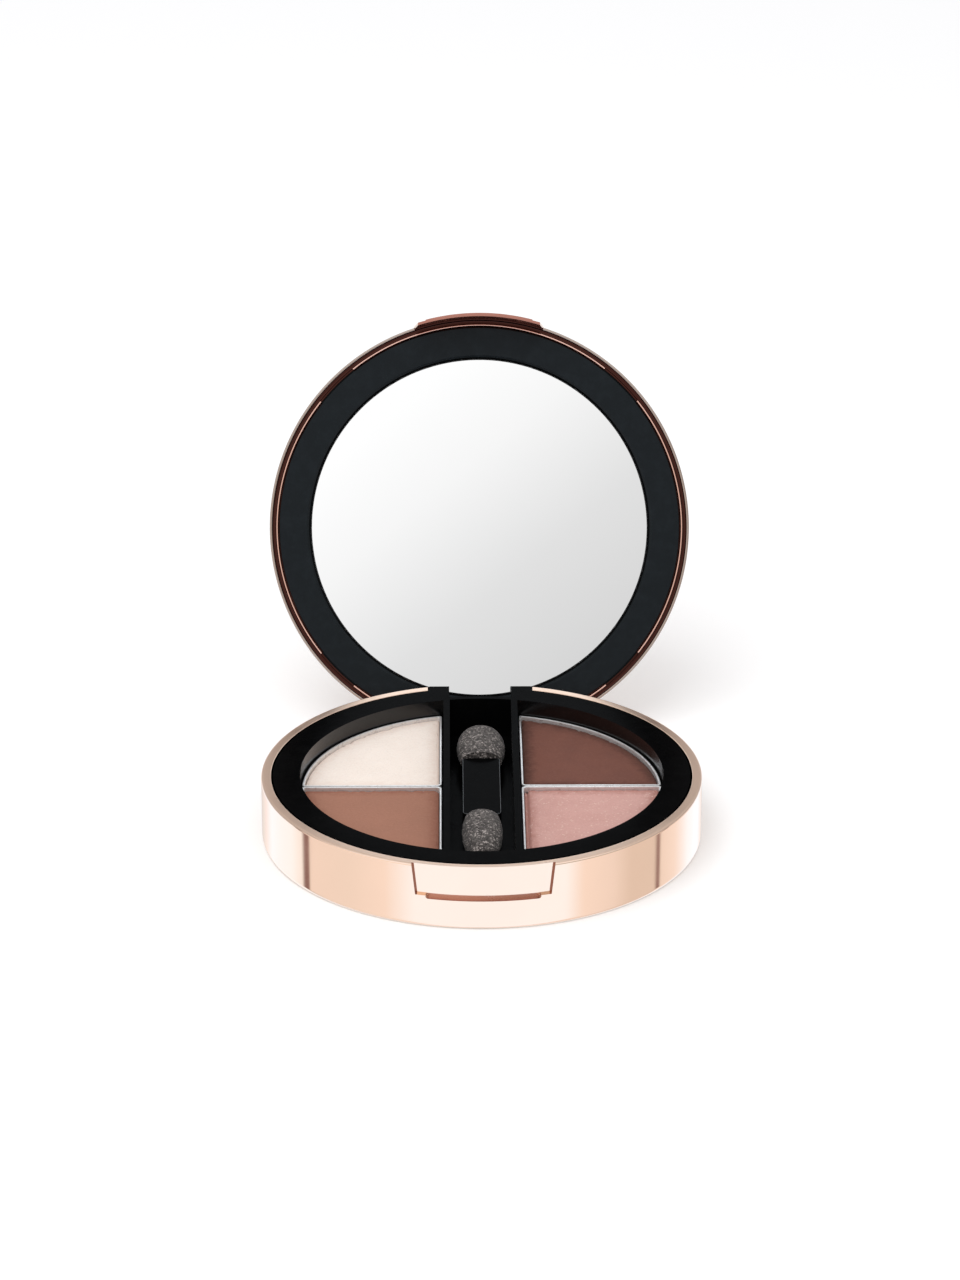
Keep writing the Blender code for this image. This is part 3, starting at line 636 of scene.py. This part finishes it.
def make_base_shell():
    profile = rounded([(0, 0), (OUTER, 0), (OUTER, RIM_Z), (BORE, RIM_Z), (BORE, BASE_FLOOR),
                       (0, BASE_FLOOR)], {1: FOOT_ROUNDING, 2: RIM_ROUNDING, 3: 0.00012})
    shell = turned("rose_gold_base", profile)
    notch = block("notch", (-NOTCH_HALF, BORE - 2 * FAR, BASE_FLOOR + FLOOR_STEP),
                  (NOTCH_HALF, OUTER + FAR, RIM_Z + FAR))
    flat = block("flat", (-OUTER, BACK_FLAT, -FAR), (OUTER, OUTER + FAR, LID_TOP))
    recess_bottom = RIM_Z - RECESS_HEIGHT
    slope = (RECESS_TOP_WIDTH - RECESS_BOTTOM_WIDTH) / RECESS_HEIGHT
    recess = front_panel("recess", trapezoid(RECESS_BOTTOM_WIDTH, RECESS_TOP_WIDTH + slope * FAR,
                                             recess_bottom, RIM_Z + FAR),
                         OUTER - RECESS_DEPTH, OUTER + FAR)
    middle = recess_bottom - SLOT_HEIGHT / 6
    reach = (SLOT_WIDTH - SLOT_HEIGHT) / 2
    stadium = (arc(SLOT_HEIGHT / 2, -90, 90, 12, (reach, middle))
               + arc(SLOT_HEIGHT / 2, 90, 270, 12, (-reach, middle)))
    slot = front_panel("slot", stadium, OUTER - SLOT_DEPTH, OUTER + FAR)
    snap_middle = RIM_Z - TRAY_SNAP_DROP
    half = SNAP_HEIGHT / 2 + CLEARANCE
    pockets = gathered("pockets", [
        ring_block(f"pocket_{angle}", BORE - FAR, TRAY_RADIUS + SNAP_REACH + CLEARANCE, angle,
                   SNAP_POCKET_HALF_ANGLE, snap_middle - half, snap_middle + half)
        for angle in SNAP_ANGLES])
    combined(shell, "DIFFERENCE", [flat, notch, recess, slot, pockets])
    smoothed(welded(shell))
    # painted shade: the recess sides and the slot walls get a darker copy of the rose gold
    gold, satin, shade, slot_shade = range(4)
    for face in shell.data.polygons:
        middle = face.center
        on_top = face.normal.z > 0.5 and middle.z > RIM_Z - RIM_ROUNDING
        in_slot = (middle.xy.length < OUTER - RECESS_DEPTH - FACE_MARGIN and middle.y < 0
                   and middle.xy.length > OUTER - SLOT_DEPTH - FACE_MARGIN
                   and abs(middle.x) < SLOT_WIDTH / 2 and middle.z < recess_bottom + 0.0004)
        recess_side = (abs(face.normal.x) > 0.8 and middle.y < -OUTER / 2
                       and abs(middle.x) < RECESS_TOP_WIDTH / 2 + CLEARANCE
                       and OUTER - RECESS_DEPTH < middle.xy.length < OUTER)
        # painted shade: the slot floor gets a darker copy of the rose gold
        slot_floor = in_slot and middle.xy.length < OUTER - SLOT_DEPTH + FACE_MARGIN
        face.material_index = (satin if on_top else slot_shade if slot_floor
                               else shade if in_slot or recess_side else gold)
    return shown(shell, "base", "rose_gold", ["base_shell"], ROSE_GOLD, ROSE_SATIN, ROSE_RECESS_SHADE,
                 ROSE_SLOT_SHADE)


# ---------------------------------------------------------------- tray
def well_outline(side):
    """A D-shaped well between a bar and the round wall; side is -1 or 1."""
    reach = math.degrees(math.acos(BAR_OUTER / WELL_RADIUS))
    return [(side * across, up) for across, up in arc(WELL_RADIUS, -reach, reach, 120)]


def channel_outline():
    """The channel between the bars, ending on the round wall at both ends."""
    reach = math.degrees(math.asin(CHANNEL_HALF / WELL_RADIUS))
    return (arc(WELL_RADIUS, -90 - reach, -90 + reach, 16)
            + arc(WELL_RADIUS, 90 - reach, 90 + reach, 16))


def make_tray():
    wall = WELL_RADIUS + TRAY_WALL
    under = WELL_FLOOR - TRAY_FLOOR
    skirt = TRAY_RADIUS - SKIRT_WALL
    foot = BASE_FLOOR + CLEARANCE
    tray = turned("black_tray", [
        (0, RIM_Z), (TRAY_RADIUS, RIM_Z), (TRAY_RADIUS, RIM_Z - SKIRT_DEPTH),
        (skirt, RIM_Z - SKIRT_DEPTH), (skirt, RIM_Z - RING_THICKNESS),
        (wall, RIM_Z - RING_THICKNESS), (wall, under), (FOOT_RING_RADIUS, under),
        (FOOT_RING_RADIUS, foot), (FOOT_RING_RADIUS - FOOT_RING_WIDTH, foot),
        (FOOT_RING_RADIUS - FOOT_RING_WIDTH, under), (0, under)])
    ears = gathered("ears", [
        block(f"ear_{side}", (min(side * EAR_INNER, side * EAR_OUTER),
                              WELL_RADIUS + TRAY_WALL / 2, foot + FLOOR_STEP),
              (max(side * EAR_INNER, side * EAR_OUTER), EAR_BACK, RIM_Z))
        for side in (-1, 1)])
    snap_middle = RIM_Z - TRAY_SNAP_DROP
    snaps = gathered("snaps", [
        ring_block(f"snap_{angle}", TRAY_RADIUS - SKIRT_WALL / 2, TRAY_RADIUS + SNAP_REACH,
                   angle, SNAP_HALF_ANGLE, snap_middle - SNAP_HEIGHT / 2,
                   snap_middle + SNAP_HEIGHT / 2)
        for angle in SNAP_ANGLES])
    combined(tray, "UNION", [ears, snaps])
    hollows = gathered("hollows", [
        prism("left", well_outline(-1), WELL_FLOOR, RIM_Z + FAR),
        prism("right", well_outline(1), WELL_FLOOR, RIM_Z + FAR),
        prism("middle", channel_outline(), WELL_FLOOR, RIM_Z + FAR)])
    reach = math.degrees(math.asin(EAR_INNER / wall))
    gate = prism("gate", arc(wall, 90 - reach, 90 + reach, 16)
                 + [(-EAR_INNER, OUTER + FAR), (EAR_INNER, OUTER + FAR)], -FAR, RIM_Z + FAR)
    relief = rod("relief", BARREL + CLEARANCE, EAR_INNER, HINGE)
    bore = rod("bore", PIN_BORE, EAR_OUTER + FAR, HINGE)
    combined(tray, "DIFFERENCE", [hollows, gate, relief, bore])
    welded(tray)
    edged(tray, TRAY_EDGE)
    smoothed(tray, 20)
    edge_high = RIM_Z - 0.00001
    edge_low = RIM_Z - 1.5 * TRAY_EDGE
    # painted highlight: the bevel facets along the top edges get a lighter, glossier black
    gloss, satin, edge = range(3)
    for face in tray.data.polygons:
        on_edge = edge_low < face.center.z < edge_high and face.center.xy.length < BORE - 0.0006
        level = face.normal.z > 0.9 or abs(face.center.x) < CHANNEL_HALF + 0.0002
        face.material_index = edge if on_edge else satin if level else gloss
    return shown(tray, "base", "black_gloss", ["tray"], BLACK_GLOSS, BLACK_SATIN, BLACK_EDGE_HIGHLIGHT)


# ---------------------------------------------------------------- pans
def quadrant(inset, side, depth_side):
    """A pan's outline beside its bar and the divider, drawn in by the inset."""
    radius = WELL_RADIUS - CLEARANCE - inset
    near_x = BAR_OUTER + CLEARANCE + inset
    near_y = depth_side * PAN_DIVIDER_Y + CLEARANCE / 2 + inset
    start = math.degrees(math.asin(near_y / radius))
    end = math.degrees(math.acos(near_x / radius))
    round_side = arc(radius, start, end, 64)
    corner = PAN_CORNER - inset / 2
    outline = rounded([(near_x, near_y)] + round_side, {0: corner, 1: corner / 2,
                                                         len(round_side): corner / 2})
    return [(side * across, depth_side * up) for across, up in outline]


def edge_distance(point, outline):
    """How far a point is from an outline, in metres."""
    nearest = 1.0
    for index, start in enumerate(outline):
        first = Vector(start)
        run = Vector(outline[index - 1]) - first
        if run.length_squared < 1e-14:
            continue
        share = min(1, max(0, (point - first).dot(run) / run.length_squared))
        nearest = min(nearest, (first + run * share - point).length)
    return nearest


def make_pan(colour, side, depth_side, finish, shrunk=False):
    """A pan and its powder; a shrunk powder has a crack along the bar."""
    pan = prism(f"{colour}_pan", quadrant(0, side, depth_side), PAN_BOTTOM, PAN_RIM)
    hollow = prism("hollow", quadrant(PAN_WALL, side, depth_side), PAN_BOTTOM + PAN_WALL,
                   PAN_RIM + FAR)
    combined(pan, "DIFFERENCE", [hollow])
    edged(welded(pan), PAN_EDGE)
    shown(smoothed(pan, 20), "base", "aluminium", [f"pan_{colour}"], ALUMINIUM)

    outline = quadrant(PAN_WALL + CLEARANCE / 3, side, depth_side)
    cake = prism(f"{colour}_powder", outline, PAN_BOTTOM + PAN_WALL + CLEARANCE, POWDER_TOP)
    remesh = cake.modifiers.new("even", "REMESH")
    remesh.mode = "VOXEL"
    remesh.voxel_size = CAKE_VOXEL
    settled(cake)
    shape = bmesh.new()
    shape.from_mesh(cake.data)
    painted_edge_shade = shape.verts.layers.float.new("edge")
    coarse = outline[::3]
    for vert in shape.verts:
        # painted shade: the sides take the full edge colour, and the top takes it fading inward
        # from the rim
        if vert.normal.z < 0.1 and vert.co.z < POWDER_TOP - CAKE_SKIN:
            vert[painted_edge_shade] = 1.0
            continue
        gap = edge_distance(vert.co.xy, coarse)
        vert[painted_edge_shade] = max(0.0, 1 - gap / EDGE_SHADE_BAND)
        if vert.co.z > POWDER_TOP - CAKE_SKIN:
            spot = vert.co * TO_MM
            worn = max(0.0, 1 - gap / WORN_BAND) ** 2 * WORN_DEPTH
            ripple = noise.noise(spot * 0.32 + Vector((side * 9, depth_side * 7, 0))) * 0.00005
            ripple += noise.noise(spot * 1.4) * 0.000018
            chip = max(0.0, noise.noise(spot * 0.9 + Vector((3, 1, 5))) - 0.12)
            chip *= max(0.0, 1 - gap / CHIP_BAND) * CHIP_DEPTH
            crack = 0.0
            if shrunk:
                from_bar = abs(vert.co.x) - BAR_OUTER - CLEARANCE - PAN_WALL
                wander = noise.noise(Vector((2, spot.y * 0.7, 0))) * 0.00010
                aside = abs(from_bar - CRACK_PLACE - wander)
                crack = max(0.0, 1 - aside / CRACK_HALF_WIDTH) * CRACK_DEPTH
            vert.co.z -= worn + chip + CAKE_SINK + ripple + crack
    shape.to_mesh(cake.data)
    shape.free()
    cake.data.shade_smooth()
    return shown(cake, "base", f"powder_{colour}", [f"powder_{colour}"], finish)


# ---------------------------------------------------------------- applicator
def tip_profile(length, width):
    """Half outline of a sponge tip from its rounded end to its flat mouth."""
    steps = 56
    start = math.degrees(math.asin(TIP_MOUTH))
    points = []
    for step in range(steps + 1):
        angle = math.radians(90 - (90 + start) * step / steps)
        points.append((width / 2 * abs(math.cos(angle)) ** TIP_FULLNESS, math.sin(angle)))
    top = points[0][1]
    low = points[-1][1]
    scaled = [(radius, length * (height - low) / (top - low)) for radius, height in points]
    mouth = scaled[-1][0]
    return ([(0, scaled[0][1])] + scaled[1:] + [(mouth * 0.8, 0.0), (mouth * 0.4, 0.0), (0, 0)])


def make_tip(name, node, mouth_y, direction, finish):
    """A sponge tip along Y, with foam relief, and a socket for the handle's neck."""
    low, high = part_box(node)
    width = high.x - low.x
    thickness = high.z - low.z
    length = high.y - low.y
    squash = Matrix.Diagonal((1, 1, thickness / width, 1))
    lie_down = Matrix.Rotation(math.radians(-90 * direction), 4, "X")
    place = Matrix.Translation((0, mouth_y, TIP_Z))
    tip = turned(name, tip_profile(length, width), place @ squash @ lie_down, facets=128)
    inner_end = mouth_y + direction * (NECK_LENGTH + CLEARANCE)
    outer_end = mouth_y - direction * FAR
    half_width = NECK_HALF_WIDTH + CLEARANCE / 3
    half_height = NECK_HALF_HEIGHT + CLEARANCE / 3
    socket = block("socket", (-half_width, min(inner_end, outer_end), TIP_Z - half_height),
                   (half_width, max(inner_end, outer_end), TIP_Z + half_height))
    combined(tip, "DIFFERENCE", [socket])
    welded(tip)
    middle = Vector((0, mouth_y + direction * length / 2, TIP_Z))
    for vert in tip.data.vertices:
        out = (vert.co - middle)
        if abs(vert.co.y - mouth_y) < 0.0004 or abs(out.x) < half_width + 1e-5 and (
                abs(out.z) < half_height + 1e-5):
            continue
        spot = vert.co * TO_MM
        foam = noise.noise(spot * 1.1) * 0.00006 + noise.noise(spot * 3.1) * 0.00005
        foam += noise.noise(spot * 6.5) * 0.00003
        vert.co += out.normalized() * (foam - FOAM_SINK)
    smoothed(tip, 70)
    shown(tip, "applicator", "sponge", [node], finish)
    return tip


def make_handle():
    half = (HANDLE_HIGH.x - HANDLE_LOW.x) / 2
    outline = rounded([(-half, HANDLE_FRONT_Y), (half, HANDLE_FRONT_Y), (half, HANDLE_BACK_Y),
                       (-half, HANDLE_BACK_Y)], {index: HANDLE_CORNER for index in range(4)})
    handle = prism("double_ended_handle", outline, HANDLE_LOW.z, HANDLE_HIGH.z)
    neck = block("neck", (-NECK_HALF_WIDTH, HANDLE_FRONT_Y - NECK_LENGTH - CLEARANCE,
                          TIP_Z - NECK_HALF_HEIGHT),
                 (NECK_HALF_WIDTH, HANDLE_BACK_Y + NECK_LENGTH + CLEARANCE,
                  TIP_Z + NECK_HALF_HEIGHT))
    combined(handle, "UNION", [neck])
    edged(welded(handle), HANDLE_EDGE, 3, 50)
    smoothed(handle, 20)
    # painted highlight: bevel facets that face up get a lighter, glossier black
    satin, edge = range(2)
    for face in handle.data.polygons:
        steep = max(abs(face.normal.x), abs(face.normal.y), abs(face.normal.z))
        face.material_index = edge if steep < 0.99 and face.normal.z > 0.1 else satin
    return shown(handle, "applicator", "black_gloss", ["applicator_handle"], BLACK_SATIN,
                 BLACK_EDGE_HIGHLIGHT)


# ---------------------------------------------------------------- lid, drawn closed
def flap_outline():
    """The flap's outline in x and z, clear of its recess."""
    low = RIM_Z - RECESS_HEIGHT + CLEARANCE
    high = LID_PLANE + FLAP_ROOT
    slope = (RECESS_TOP_WIDTH - RECESS_BOTTOM_WIDTH) / RECESS_HEIGHT
    bottom_width = RECESS_BOTTOM_WIDTH - 2 * CLEARANCE
    return trapezoid(bottom_width, bottom_width + slope * (high - low), low, high)


def make_lid_shell():
    lip_inner = OUTER - OUTER_LIP
    groove_inner = LID_BORE + INNER_LIP
    groove_top = LID_PLANE + RIM_GROOVE_DEPTH
    profile = [(0, LID_TOP)]
    profile += arc(LID_ROUNDING, 90, 0, 20, (OUTER - LID_ROUNDING, LID_TOP - LID_ROUNDING))
    lips = rounded([(OUTER, LID_PLANE + 0.001), (OUTER, LID_PLANE), (lip_inner, LID_PLANE),
                    (lip_inner, groove_top), (groove_inner, groove_top),
                    (groove_inner, LID_PLANE), (LID_BORE, LID_PLANE),
                    (LID_BORE, ROOF_UNDERSIDE)],
                   {1: 0.00020, 2: 0.00014, 3: 0.00020, 4: 0.00020, 5: 0.00010, 6: 0.00010}, 4)
    profile += lips + [(0, ROOF_UNDERSIDE)]
    shell = turned("rose_gold_lid", profile)
    skin_inner = OUTER - RECESS_DEPTH + FLAP_GAP
    skin = front_panel("skin", flap_outline(), skin_inner, skin_inner + FLAP_SKIN)
    pad_low = RIM_Z - RECESS_HEIGHT + CLEARANCE + PAD_RISE
    pad_high = LID_PLANE + FLAP_ROOT + PAD_RISE
    pad = front_panel("pad", trapezoid(FLAP_PAD_WIDTH, FLAP_PAD_WIDTH, pad_low, pad_high),
                      skin_inner + FLAP_SKIN / 2, OUTER + FLAP_PROUD)
    combined(pad, "UNION", [skin])
    edged(welded(pad), 0.00010)
    combined(shell, "UNION", [pad])
    flat = block("flat", (-OUTER, BACK_FLAT, -FAR), (OUTER, OUTER + FAR, LID_TOP + FAR))
    cove = rod("cove", COVE_RADIUS, COVE_HALF, HINGE, 160)
    snap_middle = LID_PLANE + PLATE_SNAP_RISE + SNAP_HEIGHT / 2
    half = SNAP_HEIGHT / 2 + CLEARANCE
    pockets = gathered("pockets", [
        ring_block(f"pocket_{angle}", LID_BORE - FAR, PLATE_RADIUS + SNAP_REACH + CLEARANCE,
                   angle, SNAP_POCKET_HALF_ANGLE, snap_middle - half, snap_middle + half)
        for angle in SNAP_ANGLES])
    gaps = gathered("gaps", [
        ring_block(f"gap_{angle}", LID_BORE - FAR, groove_inner + CLEARANCE / 3, angle,
                   SNAP_HALF_ANGLE, LID_PLANE - FAR, LID_PLANE + LIP_GAP_DEPTH)
        for angle in SNAP_ANGLES])
    combined(shell, "DIFFERENCE", [flat, cove, pockets, gaps])
    smoothed(welded(shell))
    gold, lip, groove, line, flap = range(5)
    for face in shell.data.polygons:
        middle = face.center
        radius = middle.xy.length
        by_flap = abs(middle.x) < RECESS_TOP_WIDTH / 2 and middle.y < 0
        inside = radius < lip_inner and middle.z < ROOF_UNDERSIDE + 0.00005
        on_line = inside and radius < groove_inner + 0.00002 and middle.z < LID_PLANE + 0.00009
        on_lip = (radius > lip_inner - FACE_MARGIN and middle.z < LID_PLANE + 0.00024
                  and middle.z > RIM_Z + FACE_MARGIN)
        flap_end = by_flap and face.normal.z < -0.5 and middle.z < RIM_Z
        flap_back = by_flap and middle.z < RIM_Z and radius < skin_inner + 0.00003
        # painted shade: the flap's end and inner face are a darker, redder copy of the rose gold
        if flap_end or flap_back:
            face.material_index = flap
        # painted reflection: the inner lip line is a redder, darker copy of the rose gold
        elif on_line:
            face.material_index = line
        # painted shade: the lid's inside and the lip beside the flap are coloured near black
        elif inside or (on_lip and by_flap):
            face.material_index = groove
        else:
            # painted reflection: the lip is a darker, greyer copy of the rose gold
            face.material_index = lip if on_lip else gold
    shell.data.transform(OPENED)
    return shown(shell, "lid", "rose_gold", ["lid_shell"], ROSE_GOLD, ROSE_LIP_REFLECTION, ROSE_GROOVE_SHADE,
                 ROSE_LINE_REFLECTION, ROSE_FLAP_SHADE)


def make_mirror_plate():
    top = ROOF_UNDERSIDE - CLEARANCE
    profile = rounded([(0, top), (PLATE_RADIUS, top), (PLATE_RADIUS, PLATE_FACE),
                       (MIRROR_POCKET + PLATE_CHAMFER, PLATE_FACE),
                       (MIRROR_POCKET, PLATE_FACE + PLATE_CHAMFER),
                       (MIRROR_POCKET, POCKET_FLOOR), (0, POCKET_FLOOR)],
                      {2: 0.00012, 3: 0.00006}, 4)
    plate = turned("charcoal_plate", profile)
    barrel = arc(BARREL, 180, 360, 40, (HINGE.y, HINGE.z))
    front = HINGE.y - KNUCKLE_FRONT
    back = HINGE.y + KNUCKLE_BACK
    side_view = barrel + [(back, HINGE.z + BARREL), (back, POCKET_FLOOR), (front, POCKET_FLOOR),
                          (front, HINGE.z + BARREL)]
    cove = rod("cove", COVE_RADIUS, COVE_HALF, HINGE, 160)
    combined(plate, "DIFFERENCE", [cove])
    knuckle = prism("knuckle", side_view, -KNUCKLE_HALF, KNUCKLE_HALF, ALONG_X)
    snap_bottom = LID_PLANE + PLATE_SNAP_RISE
    snaps = gathered("snaps", [
        ring_block(f"snap_{angle}", PLATE_RADIUS - TRAY_WALL, PLATE_RADIUS + SNAP_REACH, angle,
                   SNAP_HALF_ANGLE, snap_bottom, snap_bottom + SNAP_HEIGHT)
        for angle in SNAP_ANGLES])
    combined(plate, "UNION", [knuckle, snaps])
    combined(plate, "DIFFERENCE", [rod("bore", PIN_BORE, 2 * KNUCKLE_HALF, HINGE)])
    smoothed(welded(plate))
    plate.data.transform(OPENED)
    return shown(plate, "lid", "charcoal", ["mirror_plate"], CHARCOAL)


def make_mirror():
    back = MIRROR_FACE + MIRROR_THICKNESS
    glass = turned("round_mirror", [(0, back), (MIRROR_RADIUS, back),
                                    (MIRROR_RADIUS, MIRROR_FACE + MIRROR_BEVEL),
                                    (MIRROR_RADIUS - MIRROR_BEVEL, MIRROR_FACE),
                                    (0, MIRROR_FACE)])
    smoothed(glass, 20)
    silver, ground = range(2)
    for face in glass.data.polygons:
        face.material_index = ground if face.normal.z > -0.9 else silver
    glass.data.transform(OPENED)
    return shown(glass, "lid", "mirror", ["mirror"], silvered(), ground_edge_copper_reflection())


# ---------------------------------------------------------------- assembly
ALUMINIUM = drawn_aluminium()
make_base_shell()
make_tray()
# the second colour of each powder is its painted edge shade
make_pan("cream", -1, 1, pressed("powder_cream", (0.955, 0.845, 0.760), (0.880, 0.735, 0.645),
                                 (0.920, 0.805, 0.718)))
make_pan("terracotta", -1, -1, pressed("powder_terracotta", (0.385, 0.186, 0.128),
                                       (0.315, 0.138, 0.094), (0.352, 0.172, 0.119)))
make_pan("brown", 1, 1, pressed("powder_brown", (0.190, 0.079, 0.058), (0.105, 0.046, 0.035),
                                (0.160, 0.069, 0.053)))
make_pan("pink", 1, -1, pressed("powder_pink", (0.640, 0.372, 0.330), (0.480, 0.232, 0.196),
                                (0.585, 0.325, 0.285), (0.86, 0.70, 0.58)),
         shrunk=True)
make_handle()
make_tip("front_sponge", "sponge_small", HANDLE_FRONT_Y - CLEARANCE, -1,
         flocked("sponge_front", 0.00028))
make_tip("back_sponge", "sponge_large", HANDLE_BACK_Y + CLEARANCE, 1,
         flocked("sponge_back", 0.00027))
make_lid_shell()
make_mirror_plate()
make_mirror()

HIDDEN_FINISHES = {"hinge_pin": drawn_steel(), "mirror_tape": foam_tape()}
GLUE = hot_melt()
for node, part in frame["nodes"].items():
    if node.startswith("glue_"):
        HIDDEN_FINISHES[node] = GLUE
for node, finish in HIDDEN_FINISHES.items():
    for place in frame["nodes"][node].material_slots:
        place.material = finish


# ---------------------------------------------------------------- stage, light and camera
def make_floor():
    shape = bmesh.new()
    bmesh.ops.create_grid(shape, x_segments=8, y_segments=8, size=6.0)
    floor = placed("floor", shape)
    finish = Finish("floor_white", (0.93, 0.93, 0.93), 0.9, Specular_IOR_Level=0.0,
                    Emission_Strength=0.14)
    finish.set(Emission_Color=(1, 1, 1, 1))
    floor.data.materials.append(finish.material)
    floor.visible_glossy = False


# the studio's step from white to grey: its slope to the side, its height and its sharpness
STEP_LEAN = 1.9
STEP_HEIGHT = 0.433
STEP_SPREAD = 2.6


def make_world():
    """White for the camera, even light for matte surfaces and a studio for glossy ones."""
    world = bpy.data.worlds.new("studio")
    world.use_nodes = True
    nodes = world.node_tree.nodes
    links = world.node_tree.links
    nodes.clear()

    def math_node(operation, first, second=None, third=None):
        node = nodes.new("ShaderNodeMath")
        node.operation = operation
        for index, value in enumerate((first, second, third)):
            if isinstance(value, (int, float)):
                node.inputs[index].default_value = value
            elif value is not None:
                links.new(value, node.inputs[index])
        return node.outputs[0]

    def ramp(field, stops):
        node = nodes.new("ShaderNodeValToRGB")
        elements = node.color_ramp.elements
        while len(elements) < len(stops):
            elements.new(0.5)
        for element, (position, colour) in zip(elements, stops):
            element.position = position
            element.color = (*colour, 1)
        links.new(field, node.inputs[0])
        return node.outputs["Color"]

    def mixed(factor, first, second):
        node = nodes.new("ShaderNodeMix")
        node.data_type = "RGBA"
        links.new(factor, node.inputs[0])
        links.new(first, node.inputs[MIX_FIRST])
        links.new(second, node.inputs[MIX_SECOND])
        return node.outputs[MIX_RESULT]

    def constant(colour):
        node = nodes.new("ShaderNodeRGB")
        node.outputs[0].default_value = (*colour, 1)
        return node.outputs[0]

    direction = nodes.new("ShaderNodeTexCoord").outputs["Generated"]
    split = nodes.new("ShaderNodeSeparateXYZ")
    links.new(direction, split.inputs[0])
    across, depth, up = split.outputs

    # below the horizon: panels with gaps between them, by compass angle from the front
    turn = math_node("ARCTAN2", across, math_node("MULTIPLY", depth, -1))
    turn = math_node("MULTIPLY_ADD", turn, 0.5 / math.pi, 0.5)
    white = (1.15, 1.36, 1.60)
    peach = (1.08, 1.06, 1.08)
    tan = (0.87, 0.83, 0.81)
    gap = (0.30, 0.20, 0.20)

    def at(degrees):
        return 0.5 + degrees / 360

    below = ramp(turn, [
        (at(-180), (0.72, 0.66, 0.64)), (at(-166), tan), (at(-154), peach),
        (at(-143), white), (at(-118), white), (at(-107.5), (1.1, 1.2, 1.3)),
        (at(-106.6), gap), (at(-102.6), gap), (at(-101.8), (1.02, 0.99, 1.0)),
        (at(-75), (1.0, 0.99, 1.0)), (at(-52), peach), (at(-36), white), (at(44), white),
        (at(54), peach), (at(72), (1.0, 0.98, 1.0)), (at(84), tan), (at(102.4), tan),
        (at(103.0), gap), (at(105.4), gap), (at(106.0), (1.0, 0.97, 0.97)), (at(120), peach),
        (at(136), white), (at(152), white), (at(162), peach), (at(170), tan),
        (at(180), (0.72, 0.66, 0.64))])

    # above: a dim back, a bright top and a soft step from white to grey behind the camera
    slant = math_node("ADD", math_node("MULTIPLY", across, -STEP_LEAN),
                      math_node("MULTIPLY", math_node("ADD", up, -STEP_HEIGHT), STEP_SPREAD))
    front = ramp(math_node("ADD", slant, 0.5), [
        (0.37, (0.68, 0.68, 0.68)), (0.46, (0.78, 0.78, 0.78)), (0.54, (0.96, 0.96, 0.96)),
        (0.60, (1.04, 1.04, 1.04))])
    back = ramp(up, [(0.0, (0.52, 0.52, 0.54)), (0.6, (0.58, 0.58, 0.59)),
                     (0.95, (0.85, 0.85, 0.86))])
    toward_back = ramp(math_node("ADD", depth, 0.5), [(0.30, (0, 0, 0)), (0.60, (1, 1, 1))])
    skylight = ramp(up, [(0.60, (0, 0, 0)), (0.68, (1, 1, 1))])
    front = mixed(skylight, front, constant((1.35, 1.45, 1.55)))
    above = mixed(toward_back, front, back)
    over = ramp(math_node("ADD", up, 0.5), [(0.49, (0, 0, 0)), (0.51, (1, 1, 1))])
    studio = mixed(over, below, above)

    path = nodes.new("ShaderNodeLightPath")
    colour = mixed(path.outputs["Is Glossy Ray"], constant((0.80, 0.80, 0.81)), studio)
    colour = mixed(path.outputs["Is Camera Ray"], colour, constant((1, 1, 1)))
    background = nodes.new("ShaderNodeBackground")
    links.new(colour, background.inputs["Color"])
    output = nodes.new("ShaderNodeOutputWorld")
    links.new(background.outputs[0], output.inputs["Surface"])
    bpy.context.scene.world = world


def make_key_light():
    """A large softbox above and in front, for soft modelling of the matte surfaces."""
    light = bpy.data.lights.new("softbox", "AREA")
    light.shape = "SQUARE"
    light.size = 0.6
    light.energy = 2.6
    softbox = bpy.data.objects.new("softbox", light)
    softbox.location = (-0.2, -0.3, 0.8)
    aim = -softbox.location
    softbox.rotation_euler = aim.to_track_quat("-Z", "Y").to_euler()
    softbox.visible_glossy = False
    bpy.context.scene.collection.objects.link(softbox)


CAMERA_DISTANCE = 0.7423
CAMERA_ELEVATION = math.radians(24.79)
CAMERA_ORBIT = math.radians(0.46)
CAMERA_PITCH = math.radians(23.057)
CAMERA_YAW = math.radians(0.0243)
CAMERA_LENS = 122.63


def make_camera():
    data = bpy.data.cameras.new("camera")
    data.lens = CAMERA_LENS
    data.sensor_width = 36
    data.clip_start = 0.05
    data.clip_end = 30
    camera = bpy.data.objects.new("camera", data)
    reach = CAMERA_DISTANCE * math.cos(CAMERA_ELEVATION)
    camera.location = (-reach * math.sin(CAMERA_ORBIT), -reach * math.cos(CAMERA_ORBIT),
                       RIM_Z + CAMERA_DISTANCE * math.sin(CAMERA_ELEVATION))
    camera.rotation_euler = (math.pi / 2 - CAMERA_PITCH, 0, CAMERA_YAW - CAMERA_ORBIT)
    bpy.context.scene.collection.objects.link(camera)
    bpy.context.scene.camera = camera


make_floor()
make_world()
make_key_light()
make_camera()
bpy.context.scene.view_settings.view_transform = "Standard"
